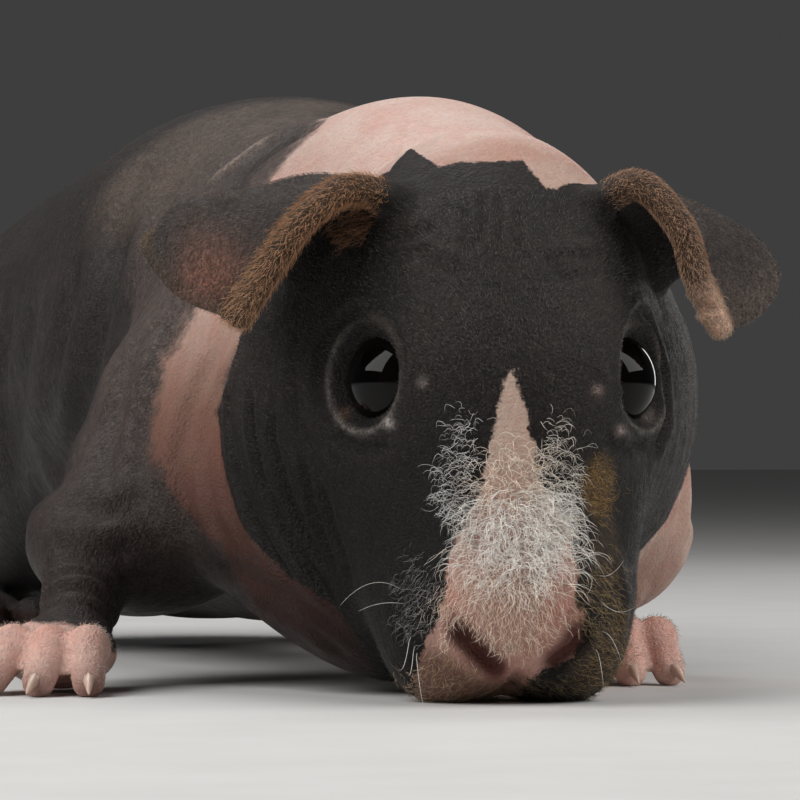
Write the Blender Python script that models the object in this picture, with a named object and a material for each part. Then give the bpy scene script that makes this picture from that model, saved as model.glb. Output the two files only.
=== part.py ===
"""A skinny pig (hairless guinea pig) as a life-size museum model, head down and sniffing at the floor.

Metres, +Z up, the animal faces -Y and its right side is at -X. The flesh is one smooth field: ellipsoids
and tapered limbs that melt into each other. Blender's voxel remesh wraps them, the points are drawn onto
the field, and the wrapped body is then parted into named nodes by thin cuts.
"""

import math

import bmesh
import bpy
import numpy as np
from mathutils import Matrix, Vector

GAP = 0.0003  # left between nodes that touch
FLOOR_CUT = 0.0002  # the soles are cut flat at this height, then set down on the floor

# The head: its own frame has +Y to the back, +Z to the crown and its origin midway between the eyeballs.
HEAD_AT = Vector((-0.0084, -0.0520, 0.0375))
HEAD_PITCH = math.radians(58)
HEAD_TURN = math.radians(-9)
EYE_R = 0.0060
EYE_OFFSET = {"R": -0.0121, "L": 0.0124}  # from the head's middle plane to each eyeball's centre
EYE_AIM = Vector((0.850, -0.200, 0.495)).normalized()
LID_OUT = {"R": 0.0030, "L": 0.0024}  # the lids' ring lies this far out from the eyeball's centre
LID_RING = 0.0059
LID_THICK = 0.0010
LID_OPEN_OUT = 0.0080  # a ball this far out, of the next radius, clears the skin in front of the eye
LID_OPEN_R = 0.0072
LID_OPEN_AIM = {"R": Vector((-0.850, -0.200, 0.495)), "L": Vector((0.700, -0.300, 0.650))}

BODY_VOXEL = 0.0010
BODY_TRIANGLES = 8200

# Each foreleg: shoulder, elbow in its sleeve of loose skin and the sleeve's width, the sleeve's lower edge,
# top of the forearm, wrist, heading of the paw and spread of its fingers in degrees, and the planes (point,
# outward direction) that the paw parts from the leg along. The right one is set well out to the side.
FORELEGS = {
    "R": {
        "shoulder": (-0.0290, 0.006, 0.032),
        "elbow": (-0.0365, 0.003, 0.0200),
        "sleeve": 0.0128,
        "cuff": (-0.0428, -0.0020, 0.0174),
        "forearm": (-0.0450, -0.004, 0.0170),
        "wrist": (-0.0495, -0.0130, 0.0085),
        "aim": 40,
        "spread": 52,
        "parting": (((-0.0476, -0.0106, 0.0105), (0.40, 0.60, 0.69)),),
    },
    "L": {
        "shoulder": (0.0200, 0.002, 0.030),
        "elbow": (0.0222, 0.001, 0.0205),
        "sleeve": 0.0096,
        "cuff": (0.0218, 0.0000, 0.0173),
        "forearm": (0.0210, -0.003, 0.0160),
        "wrist": (0.0192, -0.0085, 0.0085),
        "aim": 14,
        "spread": 34,
        "parting": (((0, 0, 0.0092), (0, 0, 1)), ((0.0100, 0, 0), (-1, 0, 0)), ((0, -0.0010, 0), (0, 1, 0))),
    },
}
# Each hind leg: hip, heel, heading of the foot and spread of its toes in degrees.
HINDLEGS = {
    "R": {"hip": (-0.0250, 0.104, 0.0325), "heel": (-0.0290, 0.122, 0.0070), "aim": 12, "spread": 34},
    "L": {"hip": (0.0230, 0.104, 0.0325), "heel": (0.0270, 0.122, 0.0070), "aim": -12, "spread": 34},
}

# Creases of the muzzle: guide points in the head's own frame, which are set on the skin, and a radius.
NOSTRIL = ((0.0062, -0.0317, -0.0045), (0.0046, -0.0332, -0.0054), (0.0028, -0.0344, -0.0066))
PHILTRUM = ((0, -0.0343, -0.0072), (0, -0.0352, -0.0100), (0, -0.0357, -0.0125), (0, -0.0350, -0.0150))
MOUTH = (
    (0, -0.0350, -0.0150),
    (0.0050, -0.0330, -0.0175),
    (0.0100, -0.0275, -0.0195),
    (0.0122, -0.0235, -0.0198),
)
CREASES = [
    (PHILTRUM, 0.0008),
    *[([(x * a, b, c) for a, b, c in NOSTRIL], 0.0011) for x in (-1, 1)],
    *[([(x * a, b, c) for a, b, c in MOUTH], 0.0009) for x in (-1, 1)],
]

# The ears, in millimetres: thickness of the leaf and of the roll along its front rim, the point inside the
# skull that their roots run towards, and each leaf's net of points, rib by rib from the front rim to the
# back margin and along each rib from root to tip. They are set out level from the point between the eyes.
EAR_STEPS = 14
EAR_RIBS = 12
EAR_THICK = 1.5
EAR_ROLL = 4.0
EAR_ROOTS = {"R": Vector((-6, 8, 8)), "L": Vector((6, 8, 8))}
EAR_NETS = {
    "R": (
        ((-12.5, -1.0, 21.4), (-18.5, -4.1, 21.8), (-23.5, -6.3, 17.8), (-27.3, -4.7, 11.5), (-29.8, -1.3, 6.4)),
        ((-13.5, 3.0, 21.0), (-20.0, 2.5, 23.4), (-26.5, 1.5, 21.0), (-32.0, 3.0, 15.8), (-36.7, 4.8, 8.9)),
        ((-16.0, 8.0, 17.0), (-21.5, 8.5, 22.0), (-29.0, 9.5, 21.3), (-36.0, 10.8, 20.0), (-39.5, 7.4, 11.8)),
        ((-18.0, 9.0, 8.0), (-24.0, 12.0, 12.5), (-31.0, 13.0, 15.5), (-38.0, 12.5, 18.0), (-41.5, 10.6, 16.2)),
    ),
    "L": (
        ((10.8, -2.7, 20.8), (15.4, -5.4, 22.8), (19.5, -8.1, 17.4), (21.1, -7.3, 11.7), (24.4, -4.8, 5.4)),
        ((12.0, 1.5, 21.2), (17.5, 0.0, 22.3), (23.0, 0.0, 19.0), (26.5, -0.5, 13.5), (29.5, -1.5, 6.6)),
        ((15.5, 7.0, 17.0), (20.0, 7.5, 20.5), (26.5, 7.0, 19.5), (31.5, 5.0, 16.0), (32.6, 0.8, 9.3)),
        ((17.5, 8.5, 9.0), (23.0, 11.0, 12.0), (29.0, 10.5, 14.5), (33.5, 8.0, 14.5), (34.3, 4.5, 12.8)),
    ),
}

# Where the nodes part: each region lies behind all its planes, given as (point, outward direction).
REGIONS = {
    "foreleg_right": (
        ((-0.029, 0, 0.030), (0.94, 0, 0.34)),
        ((0, 0.027, 0), (0, 1, 0)),
        ((-0.036, -0.018, 0), (0.6, -0.8, 0)),
    ),
    "foreleg_left": (
        ((0.021, 0, 0.030), (-0.86, 0, 0.50)),
        ((0, 0.027, 0), (0, 1, 0)),
        ((0, -0.014, 0.030), (0, -0.8, 0.6)),
    ),
    "hindleg_right": (
        ((-0.022, 0, 0.030), (0.94, 0, 0.34)),
        ((0, 0.137, 0), (0, 1, 0)),
        ((0, 0.068, 0), (0, -1, 0)),
    ),
    "hindleg_left": (
        ((0.022, 0, 0.030), (-0.94, 0, 0.34)),
        ((0, 0.137, 0), (0, 1, 0)),
        ((0, 0.068, 0), (0, -1, 0)),
    ),
    "head": (((-0.006, -0.027, 0.040), (0.15, 0.985, 0.05)),),
    "neck": (((-0.002, -0.008, 0.040), (0.08, 0.99, 0)),),
    "chest": (((0, 0.044, 0), (0, 1, 0)),),
    "belly": (((0, 0.096, 0), (0, 1, 0)),),
}


def turned(pitch=0.0, yaw=0.0, roll=0.0):
    """Turn about X, then Y, then Z, in radians."""
    return Matrix.Rotation(yaw, 3, "Z") @ Matrix.Rotation(roll, 3, "Y") @ Matrix.Rotation(pitch, 3, "X")


HEAD_TURNS = turned(HEAD_PITCH, HEAD_TURN)


def head_point(x, y, z):
    """A point given in the head's own frame."""
    return HEAD_AT + HEAD_TURNS @ Vector((x, y, z))


class Ball:
    """An ellipsoid: centre, radii, turn, and how widely it melts into what is already there."""

    def __init__(self, centre, radii, blend, turn=None):
        self.centre = np.array(centre, float)
        self.radii = np.array(radii, float)
        self.blend = blend
        self.axes = np.array(turn or Matrix.Identity(3), float)

    def distance(self, p):
        q = (p - self.centre) @ self.axes
        near = np.linalg.norm(q / self.radii, axis=1)
        slope = np.linalg.norm(q / self.radii**2, axis=1)
        return near * (near - 1) / np.maximum(slope, 1e-9)

    def seed(self, bm):
        place = Matrix.Translation(self.centre) @ Matrix(self.axes.tolist()).to_4x4()
        place = place @ Matrix.Diagonal((*self.radii, 1))
        bmesh.ops.create_icosphere(bm, subdivisions=3, radius=1.0, matrix=place)


class Taper:
    """A round limb from a to b, whose radius goes from the first to the second."""

    def __init__(self, a, b, radius_a, radius_b, blend):
        self.a, self.b = np.array(a, float), np.array(b, float)
        self.radius_a, self.radius_b = radius_a, radius_b
        self.blend = blend

    def distance(self, p):
        along = self.b - self.a
        t = np.clip((p - self.a) @ along / (along @ along), 0, 1)
        off = np.linalg.norm(p - self.a - t[:, None] * along, axis=1)
        return off - (self.radius_a + t * (self.radius_b - self.radius_a))

    def seed(self, bm):
        for centre, radius in ((self.a, self.radius_a), (self.b, self.radius_b)):
            bmesh.ops.create_icosphere(bm, subdivisions=2, radius=radius, matrix=Matrix.Translation(centre))
        along = Vector(self.b - self.a)
        place = Matrix.Translation((self.a + self.b) / 2) @ along.to_track_quat("Z", "Y").to_matrix().to_4x4()
        ends = {"radius1": self.radius_a, "radius2": self.radius_b, "depth": along.length}
        bmesh.ops.create_cone(bm, cap_ends=True, segments=16, matrix=place, **ends)


class Tip(Taper):
    """The end of a finger or toe, which carries a claw."""


def head_ball(centre, radii, blend, turn=None):
    """An ellipsoid given in the head's own frame."""
    own = HEAD_TURNS @ (turn or Matrix.Identity(3))
    return Ball(head_point(*centre), radii, blend, own)


def trunk_parts():
    """Rump, belly, chest and the hump over the shoulders."""
    return [
        Ball((-0.001, 0.062, 0.0415), (0.0365, 0.054, 0.0362), 0.0),
        Ball((-0.001, 0.102, 0.0385), (0.0360, 0.047, 0.0342), 0.010),
        Ball((-0.003, 0.020, 0.0390), (0.0285, 0.040, 0.0310), 0.014),
        Ball((-0.0015, -0.003, 0.0505), (0.0180, 0.028, 0.0218), 0.014),
    ]


def neck_parts():
    """The thick neck and the loose skin of the throat, which hangs almost to the floor."""
    return [
        Taper((-0.0020, -0.004, 0.0422), (-0.0078, -0.036, 0.0420), 0.0247, 0.0205, 0.012),
        Ball((-0.0100, -0.027, 0.0190), (0.0185, 0.024, 0.0176), 0.010),
        Ball((-0.0195, -0.0235, 0.0325), (0.0122, 0.0195, 0.0200), 0.010),
        Ball((0.0125, -0.0235, 0.0325), (0.0105, 0.0180, 0.0190), 0.010),
        Taper((-0.0290, -0.0100, 0.0225), (-0.0175, -0.0310, 0.0150), 0.0095, 0.0110, 0.006),
        Taper((0.0200, -0.0080, 0.0225), (0.0010, -0.0300, 0.0150), 0.0080, 0.0100, 0.006),
    ]


def head_parts():
    """Cranium, snout, lips, jaw, cheeks and brows."""
    parts = [
        head_ball((0, 0.009, 0.000), (0.0178, 0.024, 0.0175), 0.008),
        Taper(head_point(0, -0.002, 0.000), head_point(0, -0.023, -0.0055), 0.0140, 0.0100, 0.006),
        head_ball((0, -0.0275, -0.0075), (0.0100, 0.0070, 0.0080), 0.005),
        head_ball((0, -0.017, -0.0200), (0.0095, 0.0125, 0.0075), 0.005),
        head_ball((0, 0.006, -0.0200), (0.0200, 0.0180, 0.0140), 0.008),
    ]
    for x, side in ((-1, "R"), (1, "L")):
        cheek_back, cheek_front = head_point(x * 0.0085, -0.003, -0.009), head_point(x * 0.0075, -0.019, -0.0125)
        parts += [
            Taper(cheek_back, cheek_front, 0.0105, 0.0085, 0.007),
            head_ball((x * 0.0065, -0.0258, -0.0142), (0.0078, 0.0085, 0.0086), 0.004),
            head_ball((x * 0.0119, 0.0105, -0.0175), (0.0137, 0.0190, 0.0155), 0.008),
            head_ball((x * 0.0070, 0.000, 0.0000), (0.0078, 0.0110, 0.0088), 0.005),
        ]
    return parts


def paw_parts(wrist, aim, fingers, palm, finger_length, finger_radius, spread):
    """A palm with fingers that fan out from it and end on the floor. aim is the paw's heading in degrees
    from straight ahead (-Y), to the animal's right."""
    parts = []
    heading = Matrix.Rotation(-math.radians(aim), 3, "Z")
    centre = Vector(wrist) + heading @ Vector((0, -palm[1] * 0.7, 0))
    centre.z = palm[2] + 0.0005
    parts.append(Ball(centre, palm, 0.0025, heading))
    for n in range(fingers):
        share = n / (fingers - 1) - 0.5
        fan = Matrix.Rotation(-math.radians(aim) - share * math.radians(spread), 3, "Z")
        root = centre + heading @ Vector((-share * palm[0] * 1.5, -palm[1] * 0.45, 0))
        reach = finger_length * (1 - 0.35 * abs(share))
        knuckle = root + fan @ Vector((0, -reach * 0.5, 0.0010))
        tip = root + fan @ Vector((0, -reach, 0))
        tip.z = finger_radius * 0.85
        parts.append(Taper(root, knuckle, finger_radius, finger_radius * 1.12, 0.0012))
        parts.append(Tip(knuckle, tip, finger_radius * 1.08, finger_radius * 0.85, 0.0008))
    return parts


def foreleg_parts(side):
    """Upper arm in its sleeve of loose skin, thin forearm and paw with four fingers."""
    leg = FORELEGS[side]
    out = -1 if side == "R" else 1
    elbow, wrist = Vector(leg["elbow"]), Vector(leg["wrist"])
    return [
        Ball(leg["shoulder"], (0.0120, 0.0190, 0.0210), 0.008, turned(roll=-out * 0.35)),
        Taper(leg["shoulder"], leg["elbow"], 0.0120, 0.0095, 0.006),
        Ball(elbow, (leg["sleeve"], 0.0125, 0.0098), 0.006),
        Ball(leg["cuff"], (0.0098, 0.0102, 0.0072), 0.005),
        Taper(leg["forearm"], wrist, 0.0062, 0.0042, 0.003),
        *paw_parts(wrist, leg["aim"], 4, (0.0070, 0.0068, 0.0044), 0.0098, 0.0023, leg["spread"]),
    ]


def hindleg_parts(side):
    """Haunch and the long flat foot with three toes."""
    leg = HINDLEGS[side]
    hip, heel = Vector(leg["hip"]), Vector(leg["heel"])
    heading = Matrix.Rotation(-math.radians(leg["aim"]), 3, "Z")
    ball = heel + heading @ Vector((0, -0.024, 0))
    ball.z = 0.0045
    heel.z = 0.0048
    return [
        Ball(hip, (0.0155, 0.0290, 0.0232), 0.010),
        Taper(hip, heel, 0.0120, 0.0052, 0.006),
        Taper(heel, ball, 0.0044, 0.0042, 0.003),
        *paw_parts(ball, leg["aim"], 3, (0.0062, 0.0062, 0.0040), 0.0115, 0.0023, leg["spread"]),
    ]


def claws(limb):
    """Where a limb's claws grow: (root, direction, the finger's radius there)."""
    tips = [part for part in limb if isinstance(part, Tip)]
    return [(Vector(part.b), (Vector(part.b) - Vector(part.a)).normalized(), part.radius_b) for part in tips]


def eye_centre(side):
    return head_point(EYE_OFFSET[side], 0, 0)


def eye_aim(side):
    return (HEAD_TURNS @ Vector((EYE_AIM.x * (-1 if side == "R" else 1), EYE_AIM.y, EYE_AIM.z))).normalized()


def melt(a, b, k):
    """Smooth union over a width k."""
    if k <= 0:
        return np.minimum(a, b)
    h = np.maximum(k - np.abs(a - b), 0) / k
    return np.minimum(a, b) - h * h * k / 4


def carve(a, b, k):
    """Smooth cut of b out of a."""
    return -melt(-a, b, k)


def ring(p, centre, axis, major, minor):
    """Distance to a torus."""
    q = p - np.array(centre)
    up = q @ np.array(axis)
    out = np.linalg.norm(q - up[:, None] * np.array(axis), axis=1)
    return np.hypot(out - major, up) - minor


def smooth_flesh(p):
    """The field of the body with its lids but without its creases."""
    d = None
    for part in FLESH:
        d = part.distance(p) if d is None else melt(d, part.distance(p), part.blend)
    for side in "RL":
        centre, aim = eye_centre(side), eye_aim(side)
        opening_at = centre + HEAD_TURNS @ LID_OPEN_AIM[side] * LID_OPEN_OUT
        opening = np.linalg.norm(p - np.array(opening_at), axis=1) - LID_OPEN_R
        d = carve(d, opening, 0.0020)
        d = melt(d, ring(p, centre + aim * LID_OUT[side], aim, LID_RING, LID_THICK), 0.0022)
    return d


def set_on_skin(points):
    """Moves points given in the head's own frame onto the smooth skin."""
    p = np.array([head_point(*point) for point in points])
    for _ in range(12):
        here, rise = slope(p, smooth_flesh)
        p -= 0.7 * (here / np.maximum((rise**2).sum(1), 0.05))[:, None] * rise
    return p


def crease_tapers():
    tapers = []
    for run, radius in CREASES:
        points = set_on_skin(run)
        tapers += [Taper(a, b, radius, radius, 0) for a, b in zip(points, points[1:])]
    return tapers


def flesh(p):
    """The field of the whole body: negative inside, zero on the skin."""
    d = smooth_flesh(p)
    for taper in CREASE_TAPERS:
        d = carve(d, taper.distance(p), 0.0010)
    return d


def slope(p, field):
    """A field's value and its gradient, by differences."""
    step = 0.0001
    here = field(p)
    rise = np.stack([field(p + step * np.eye(3)[n]) - here for n in range(3)], axis=1) / step
    return here, rise


def draw_onto_field(obj, rounds=5):
    """Moves the mesh's points onto the skin along the field's gradient, and evens them out."""
    mesh = obj.data
    p = np.empty(len(mesh.vertices) * 3)
    mesh.vertices.foreach_get("co", p)
    p = p.reshape(-1, 3)
    ends = np.empty(len(mesh.edges) * 2, int)
    mesh.edges.foreach_get("vertices", ends)
    a, b = ends.reshape(-1, 2).T
    count = np.bincount(a, minlength=len(p)) + np.bincount(b, minlength=len(p))
    for _ in range(rounds):
        here, rise = slope(p, flesh)
        size = np.maximum((rise**2).sum(1), 0.05)
        move = -(here / size)[:, None] * rise
        p += np.clip(move, -0.002, 0.002)
        mean = np.stack(
            [np.bincount(a, p[b, n], len(p)) + np.bincount(b, p[a, n], len(p)) for n in range(3)], axis=1
        )
        normal = rise / np.maximum(np.linalg.norm(rise, axis=1), 1e-9)[:, None]
        shift = mean / count[:, None] - p
        p += 0.5 * (shift - (shift * normal).sum(1)[:, None] * normal)
    here, rise = slope(p, flesh)
    p -= (here / np.maximum((rise**2).sum(1), 0.05))[:, None] * rise
    mesh.vertices.foreach_set("co", p.ravel())
    mesh.update()


def material(name, colour, roughness):
    made = bpy.data.materials.new(name)
    made.use_nodes = True
    shader = made.node_tree.nodes["Principled BSDF"]
    shader.inputs["Base Color"].default_value = (*colour, 1)
    shader.inputs["Roughness"].default_value = roughness
    shader.inputs["Metallic"].default_value = 0.0
    return made


def new_object(name, bm, skin=None):
    """An object of its own from a bmesh, in the scene."""
    mesh = bpy.data.meshes.new(name)
    bm.to_mesh(mesh)
    bm.free()
    obj = bpy.data.objects.new(name, mesh)
    bpy.context.scene.collection.objects.link(obj)
    if skin:
        mesh.materials.append(skin)
    return obj


def applied(obj):
    """The object with its modifiers made part of its mesh."""
    graph = bpy.context.evaluated_depsgraph_get()
    mesh = bpy.data.meshes.new_from_object(obj.evaluated_get(graph))
    obj.modifiers.clear()
    obj.data = mesh
    return obj


def keep_largest(obj):
    """Drops every loose scrap and sealed surface but the largest closed one."""
    bm = bmesh.new()
    bm.from_mesh(obj.data)
    left, shells = set(bm.verts), []
    while left:
        front = [left.pop()]
        shell = set(front)
        while front:
            for edge in front.pop().link_edges:
                for vert in edge.verts:
                    if vert in left:
                        left.discard(vert)
                        shell.add(vert)
                        front.append(vert)
        shells.append(shell)

    def spread(shell):
        return sum(max(v.co[n] for v in shell) - min(v.co[n] for v in shell) for n in (0, 1))

    largest = max(shells, key=spread)
    bmesh.ops.delete(bm, geom=[v for s in shells if s is not largest for v in s], context="VERTS")
    bm.to_mesh(obj.data)
    bm.free()


def cut(obj, cutter, operation):
    """Applies one Boolean to obj and returns it."""
    change = obj.modifiers.new(operation, "BOOLEAN")
    change.operation = operation
    change.object = cutter
    change.solver = "EXACT"
    applied(obj)
    return obj


def copy_of(obj, name):
    made = bpy.data.objects.new(name, obj.data.copy())
    bpy.context.scene.collection.objects.link(made)
    return made


def wrapped_body(skin):
    """All the flesh as one closed mesh, drawn onto the field and thinned out."""
    bm = bmesh.new()
    for part in FLESH:
        part.seed(bm)
    for side in "RL":
        lid = Ball(eye_centre(side) + eye_aim(side) * LID_OUT[side], (LID_RING,) * 3, 0)
        lid.seed(bm)
    body = new_object("body", bm, skin)
    for rounds in (5, 2):
        wrap = body.modifiers.new("wrap", "REMESH")
        wrap.mode = "VOXEL"
        wrap.voxel_size = BODY_VOXEL
        applied(body)
        draw_onto_field(body, rounds)
    thin = body.modifiers.new("thin", "DECIMATE")
    faces = sum(len(face.vertices) - 2 for face in body.data.polygons)
    thin.ratio = BODY_TRIANGLES / faces
    applied(body)
    keep_largest(body)
    return body


def region(name, planes, grown=0.0):
    """A convex solid to cut with: what lies behind every plane (point, outward direction), each moved
    outward by grown."""
    bm = bmesh.new()
    bmesh.ops.create_cube(bm, size=1.0)
    for point, direction in planes:
        out = Vector(direction).normalized()
        everything = bm.verts[:] + bm.edges[:] + bm.faces[:]
        sliced = bmesh.ops.bisect_plane(
            bm, geom=everything, plane_co=Vector(point) + out * grown, plane_no=out, clear_outer=True
        )
        rim = [e for e in sliced["geom_cut"] if isinstance(e, bmesh.types.BMEdge)]
        bmesh.ops.contextual_create(bm, geom=rim)
    bmesh.ops.recalc_face_normals(bm, faces=bm.faces)
    return new_object(name, bm)


def split_off(body, name, planes, skin):
    """Takes the part of body inside the planes off as a node of its own, a thin gap away from the rest."""
    taken = copy_of(body, name)
    inner = region(name + "_region", planes)
    outer = region(name + "_region_grown", planes, GAP)
    cut(taken, inner, "INTERSECT")
    cut(body, outer, "DIFFERENCE")
    for cutter in (inner, outer):
        bpy.data.objects.remove(cutter)
    keep_largest(taken)
    keep_largest(body)
    taken.data.materials.clear()
    taken.data.materials.append(skin)
    return taken


def through(values, t):
    """A smooth curve through evenly spaced values, at t from 0 to 1 (Catmull-Rom)."""
    last = len(values) - 1
    at = min(max(t, 0.0), 1.0) * last
    n = min(int(at), last - 1)
    f = at - n
    b, c = values[n], values[n + 1]
    a = values[n - 1] if n else b * 2 - c
    d = values[n + 2] if n + 2 <= last else c * 2 - b
    return b + 0.5 * f * (c - a + f * (2 * a - 5 * b + 4 * c - d + f * (3 * (b - c) + d - a)))


def ear_point(net, across, along):
    """A point of an ear's sheet: across from its front rim to its back margin, along from root to tip."""
    return through([through([Vector(p) for p in rib], along) for rib in net], across)


def ear_thickness(across, along):
    """Thin like leather, with a round fleshy roll along the front rim and thinning at the margins."""
    margin = min((1 - across) / 0.08, (1.0 - along) / 0.06, 1.0)
    leaf = EAR_THICK * (0.55 + 0.45 * max(margin, 0.0))
    roll = EAR_ROLL * (1 - 0.25 * along) * math.exp(-((across / 0.10) ** 2))
    return max(leaf, roll)


def ear_out(net, across, along):
    """Half the ear's thickness as a vector square to its sheet."""
    step = 0.02
    du = ear_point(net, min(across + step, 1), along) - ear_point(net, max(across - step, 0), along)
    dv = ear_point(net, across, min(along + step, 1)) - ear_point(net, across, max(along - step, 0))
    return du.cross(dv).normalized() * (ear_thickness(across, along) / 2)


def ear(name, side, skin):
    """An ear as one closed leaf. Its first row of points lies inside the skull."""
    net = EAR_NETS[side]
    level = Matrix.Translation(HEAD_AT) @ Matrix.Rotation(HEAD_TURN, 4, "Z") @ Matrix.Scale(0.001, 4)
    bm = bmesh.new()
    front, back = [], []
    for i in range(EAR_RIBS + 1):
        across = (i / EAR_RIBS) ** 1.25
        for j in range(-1, EAR_STEPS + 1):
            along = max(j / EAR_STEPS, 0.0)
            here = ear_point(net, across, along)
            out = ear_out(net, across, along)
            if j < 0:
                here = here.lerp(EAR_ROOTS[side], 0.35)
            front.append(bm.verts.new(level @ (here + out)))
            back.append(bm.verts.new(level @ (here - out)))
    wide = EAR_STEPS + 2
    for i in range(EAR_RIBS):
        for j in range(wide - 1):
            a, b, c, d = i * wide + j, i * wide + j + 1, (i + 1) * wide + j + 1, (i + 1) * wide + j
            for tri in ((a, b, c), (a, c, d)):
                bm.faces.new([front[n] for n in tri])
                bm.faces.new([back[n] for n in reversed(tri)])
    edge = list(range(wide))
    edge += [i * wide + wide - 1 for i in range(1, EAR_RIBS + 1)]
    edge += [EAR_RIBS * wide + j for j in reversed(range(wide - 1))]
    edge += [i * wide for i in reversed(range(1, EAR_RIBS))]
    for a, b in zip(edge, edge[1:] + edge[:1]):
        bm.faces.new([front[b], front[a], back[a]])
        bm.faces.new([front[b], back[a], back[b]])
    bmesh.ops.recalc_face_normals(bm, faces=bm.faces)
    return new_object(name, bm, skin)


def clear_of(obj, other, near):
    """Cuts obj clear of other by the gap. near is a box (low, high) round where they meet."""
    low, high = (Vector(corner) for corner in near)
    planes = [(low, -axis) for axis in Matrix.Identity(3)] + [(high, axis) for axis in Matrix.Identity(3)]
    chunk = copy_of(other, "chunk")
    box = region("near", planes)
    cut(chunk, box, "INTERSECT")
    bm = bmesh.new()
    bm.from_mesh(chunk.data)
    bm.normal_update()
    for vert in bm.verts:
        vert.co += vert.normal * GAP
    bm.to_mesh(chunk.data)
    bm.free()
    cut(obj, chunk, "DIFFERENCE")
    keep_largest(obj)
    for used in (chunk, box):
        bpy.data.objects.remove(used)


def eye(name, side, skin):
    bm = bmesh.new()
    bmesh.ops.create_icosphere(bm, subdivisions=3, radius=EYE_R, matrix=Matrix.Translation(eye_centre(side)))
    return new_object(name, bm, skin)


def add_claws(paw, parts, length):
    """Fuses a claw to the end of each finger: a six-sided cone, its root sunk in the finger."""
    pieces = bpy.data.collections.new(paw.name + "_claws")
    bpy.context.scene.collection.children.link(pieces)
    for root, direction, radius in claws(parts):
        ahead = Vector((direction.x, direction.y, 0)).normalized()
        start = root + Vector((0, 0, radius * 0.3)) - ahead * radius * 0.4
        end = root + ahead * (length + radius)
        end.z = 0.0009
        lean = (end - start).normalized()
        bm = bmesh.new()
        middle = (start + end) / 2
        place = Matrix.Translation(middle) @ lean.to_track_quat("Z", "Y").to_matrix().to_4x4()
        ends = {"radius1": radius * 0.55, "radius2": 0.00025, "depth": (end - start).length}
        bmesh.ops.create_cone(bm, cap_ends=True, segments=6, matrix=place, **ends)
        claw = new_object("claw", bm)
        bpy.context.scene.collection.objects.unlink(claw)
        pieces.objects.link(claw)
    join = paw.modifiers.new("claws", "BOOLEAN")
    join.operation = "UNION"
    join.operand_type = "COLLECTION"
    join.collection = pieces
    join.solver = "EXACT"
    applied(paw)
    for claw in list(pieces.objects):
        bpy.data.objects.remove(claw)
    bpy.data.collections.remove(pieces)
    keep_largest(paw)


FLESH = [
    *trunk_parts(),
    *neck_parts(),
    *head_parts(),
    *foreleg_parts("R"),
    *foreleg_parts("L"),
    *hindleg_parts("R"),
    *hindleg_parts("L"),
]

CREASE_TAPERS = crease_tapers()

def main():
    for obj in list(bpy.data.objects):
        bpy.data.objects.remove(obj)
    dark = material("dark_skin", (0.045, 0.038, 0.036), 0.55)
    taupe = material("taupe_skin", (0.16, 0.12, 0.10), 0.55)
    pink = material("pink_skin", (0.55, 0.33, 0.29), 0.5)
    black = material("eye_black", (0.008, 0.008, 0.010), 0.05)
    skins = {"head": dark, "neck": pink, "chest": pink, "belly": dark}

    body = wrapped_body(dark)
    floor = region("above_floor", (((0, 0, FLOOR_CUT), (0, 0, -1)),))
    cut(body, floor, "INTERSECT")
    bpy.data.objects.remove(floor)
    keep_largest(body)
    for side in "RL":
        bm = bmesh.new()
        place = Matrix.Translation(eye_centre(side))
        bmesh.ops.create_icosphere(bm, subdivisions=3, radius=EYE_R + GAP, matrix=place)
        socket = new_object("socket", bm)
        cut(body, socket, "DIFFERENCE")
        bpy.data.objects.remove(socket)
    keep_largest(body)

    nodes = {}
    for name, planes in REGIONS.items():
        nodes[name] = split_off(body, name, planes, skins.get(name, taupe))
    body.name = "rump"
    nodes["rump"] = body

    for side, word in (("R", "right"), ("L", "left")):
        planes = FORELEGS[side]["parting"]
        nodes["forepaw_" + word] = split_off(nodes["foreleg_" + word], "forepaw_" + word, planes, pink)
        add_claws(nodes["forepaw_" + word], foreleg_parts(side), 0.0028)
        planes = (((0, 0, 0.0095), (0, 0, 1)),)
        nodes["hindpaw_" + word] = split_off(nodes["hindleg_" + word], "hindpaw_" + word, planes, pink)
        add_claws(nodes["hindpaw_" + word], hindleg_parts(side), 0.0038)
        nodes["eye_" + word] = eye("eye_" + word, side, black)
        nodes["ear_" + word] = ear("ear_" + word, side, dark)
        out = -1 if side == "R" else 1
        low = HEAD_AT + Vector((min(out * 0.002, out * 0.045), -0.012, 0.0010))
        high = HEAD_AT + Vector((max(out * 0.002, out * 0.045), 0.030, 0.035))
        clear_of(nodes["ear_" + word], nodes["head"], (low, high))

    base = bpy.data.objects.new("skinny_pig", None)
    bpy.context.scene.collection.objects.link(base)
    corners = [vert.co for obj in nodes.values() for vert in obj.data.vertices]
    low = Vector([min(c[n] for c in corners) for n in range(3)])
    high = Vector([max(c[n] for c in corners) for n in range(3)])
    base.location = (-(low.x + high.x) / 2, -(low.y + high.y) / 2, -low.z)
    for obj in nodes.values():
        obj.parent = base
        obj.data.polygons.foreach_set("use_smooth", [True] * len(obj.data.polygons))
    print({name: sum(len(f.vertices) - 2 for f in obj.data.polygons) for name, obj in nodes.items()})
    print("low", tuple(low), "high", tuple(high))


main()
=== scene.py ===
"""The skinny pig's looks: one skin over all its flesh, with markings and folds, and its hair, eyes and claws.

Lengths are in metres where no comment says otherwise. The forms of the body are those of the CAD source, in
its design frame. finish_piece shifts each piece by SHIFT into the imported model's frame.
"""

import math

import bmesh
import bpy
import numpy as np
from mathutils import Matrix, Vector
from mathutils.bvhtree import BVHTree


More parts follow.
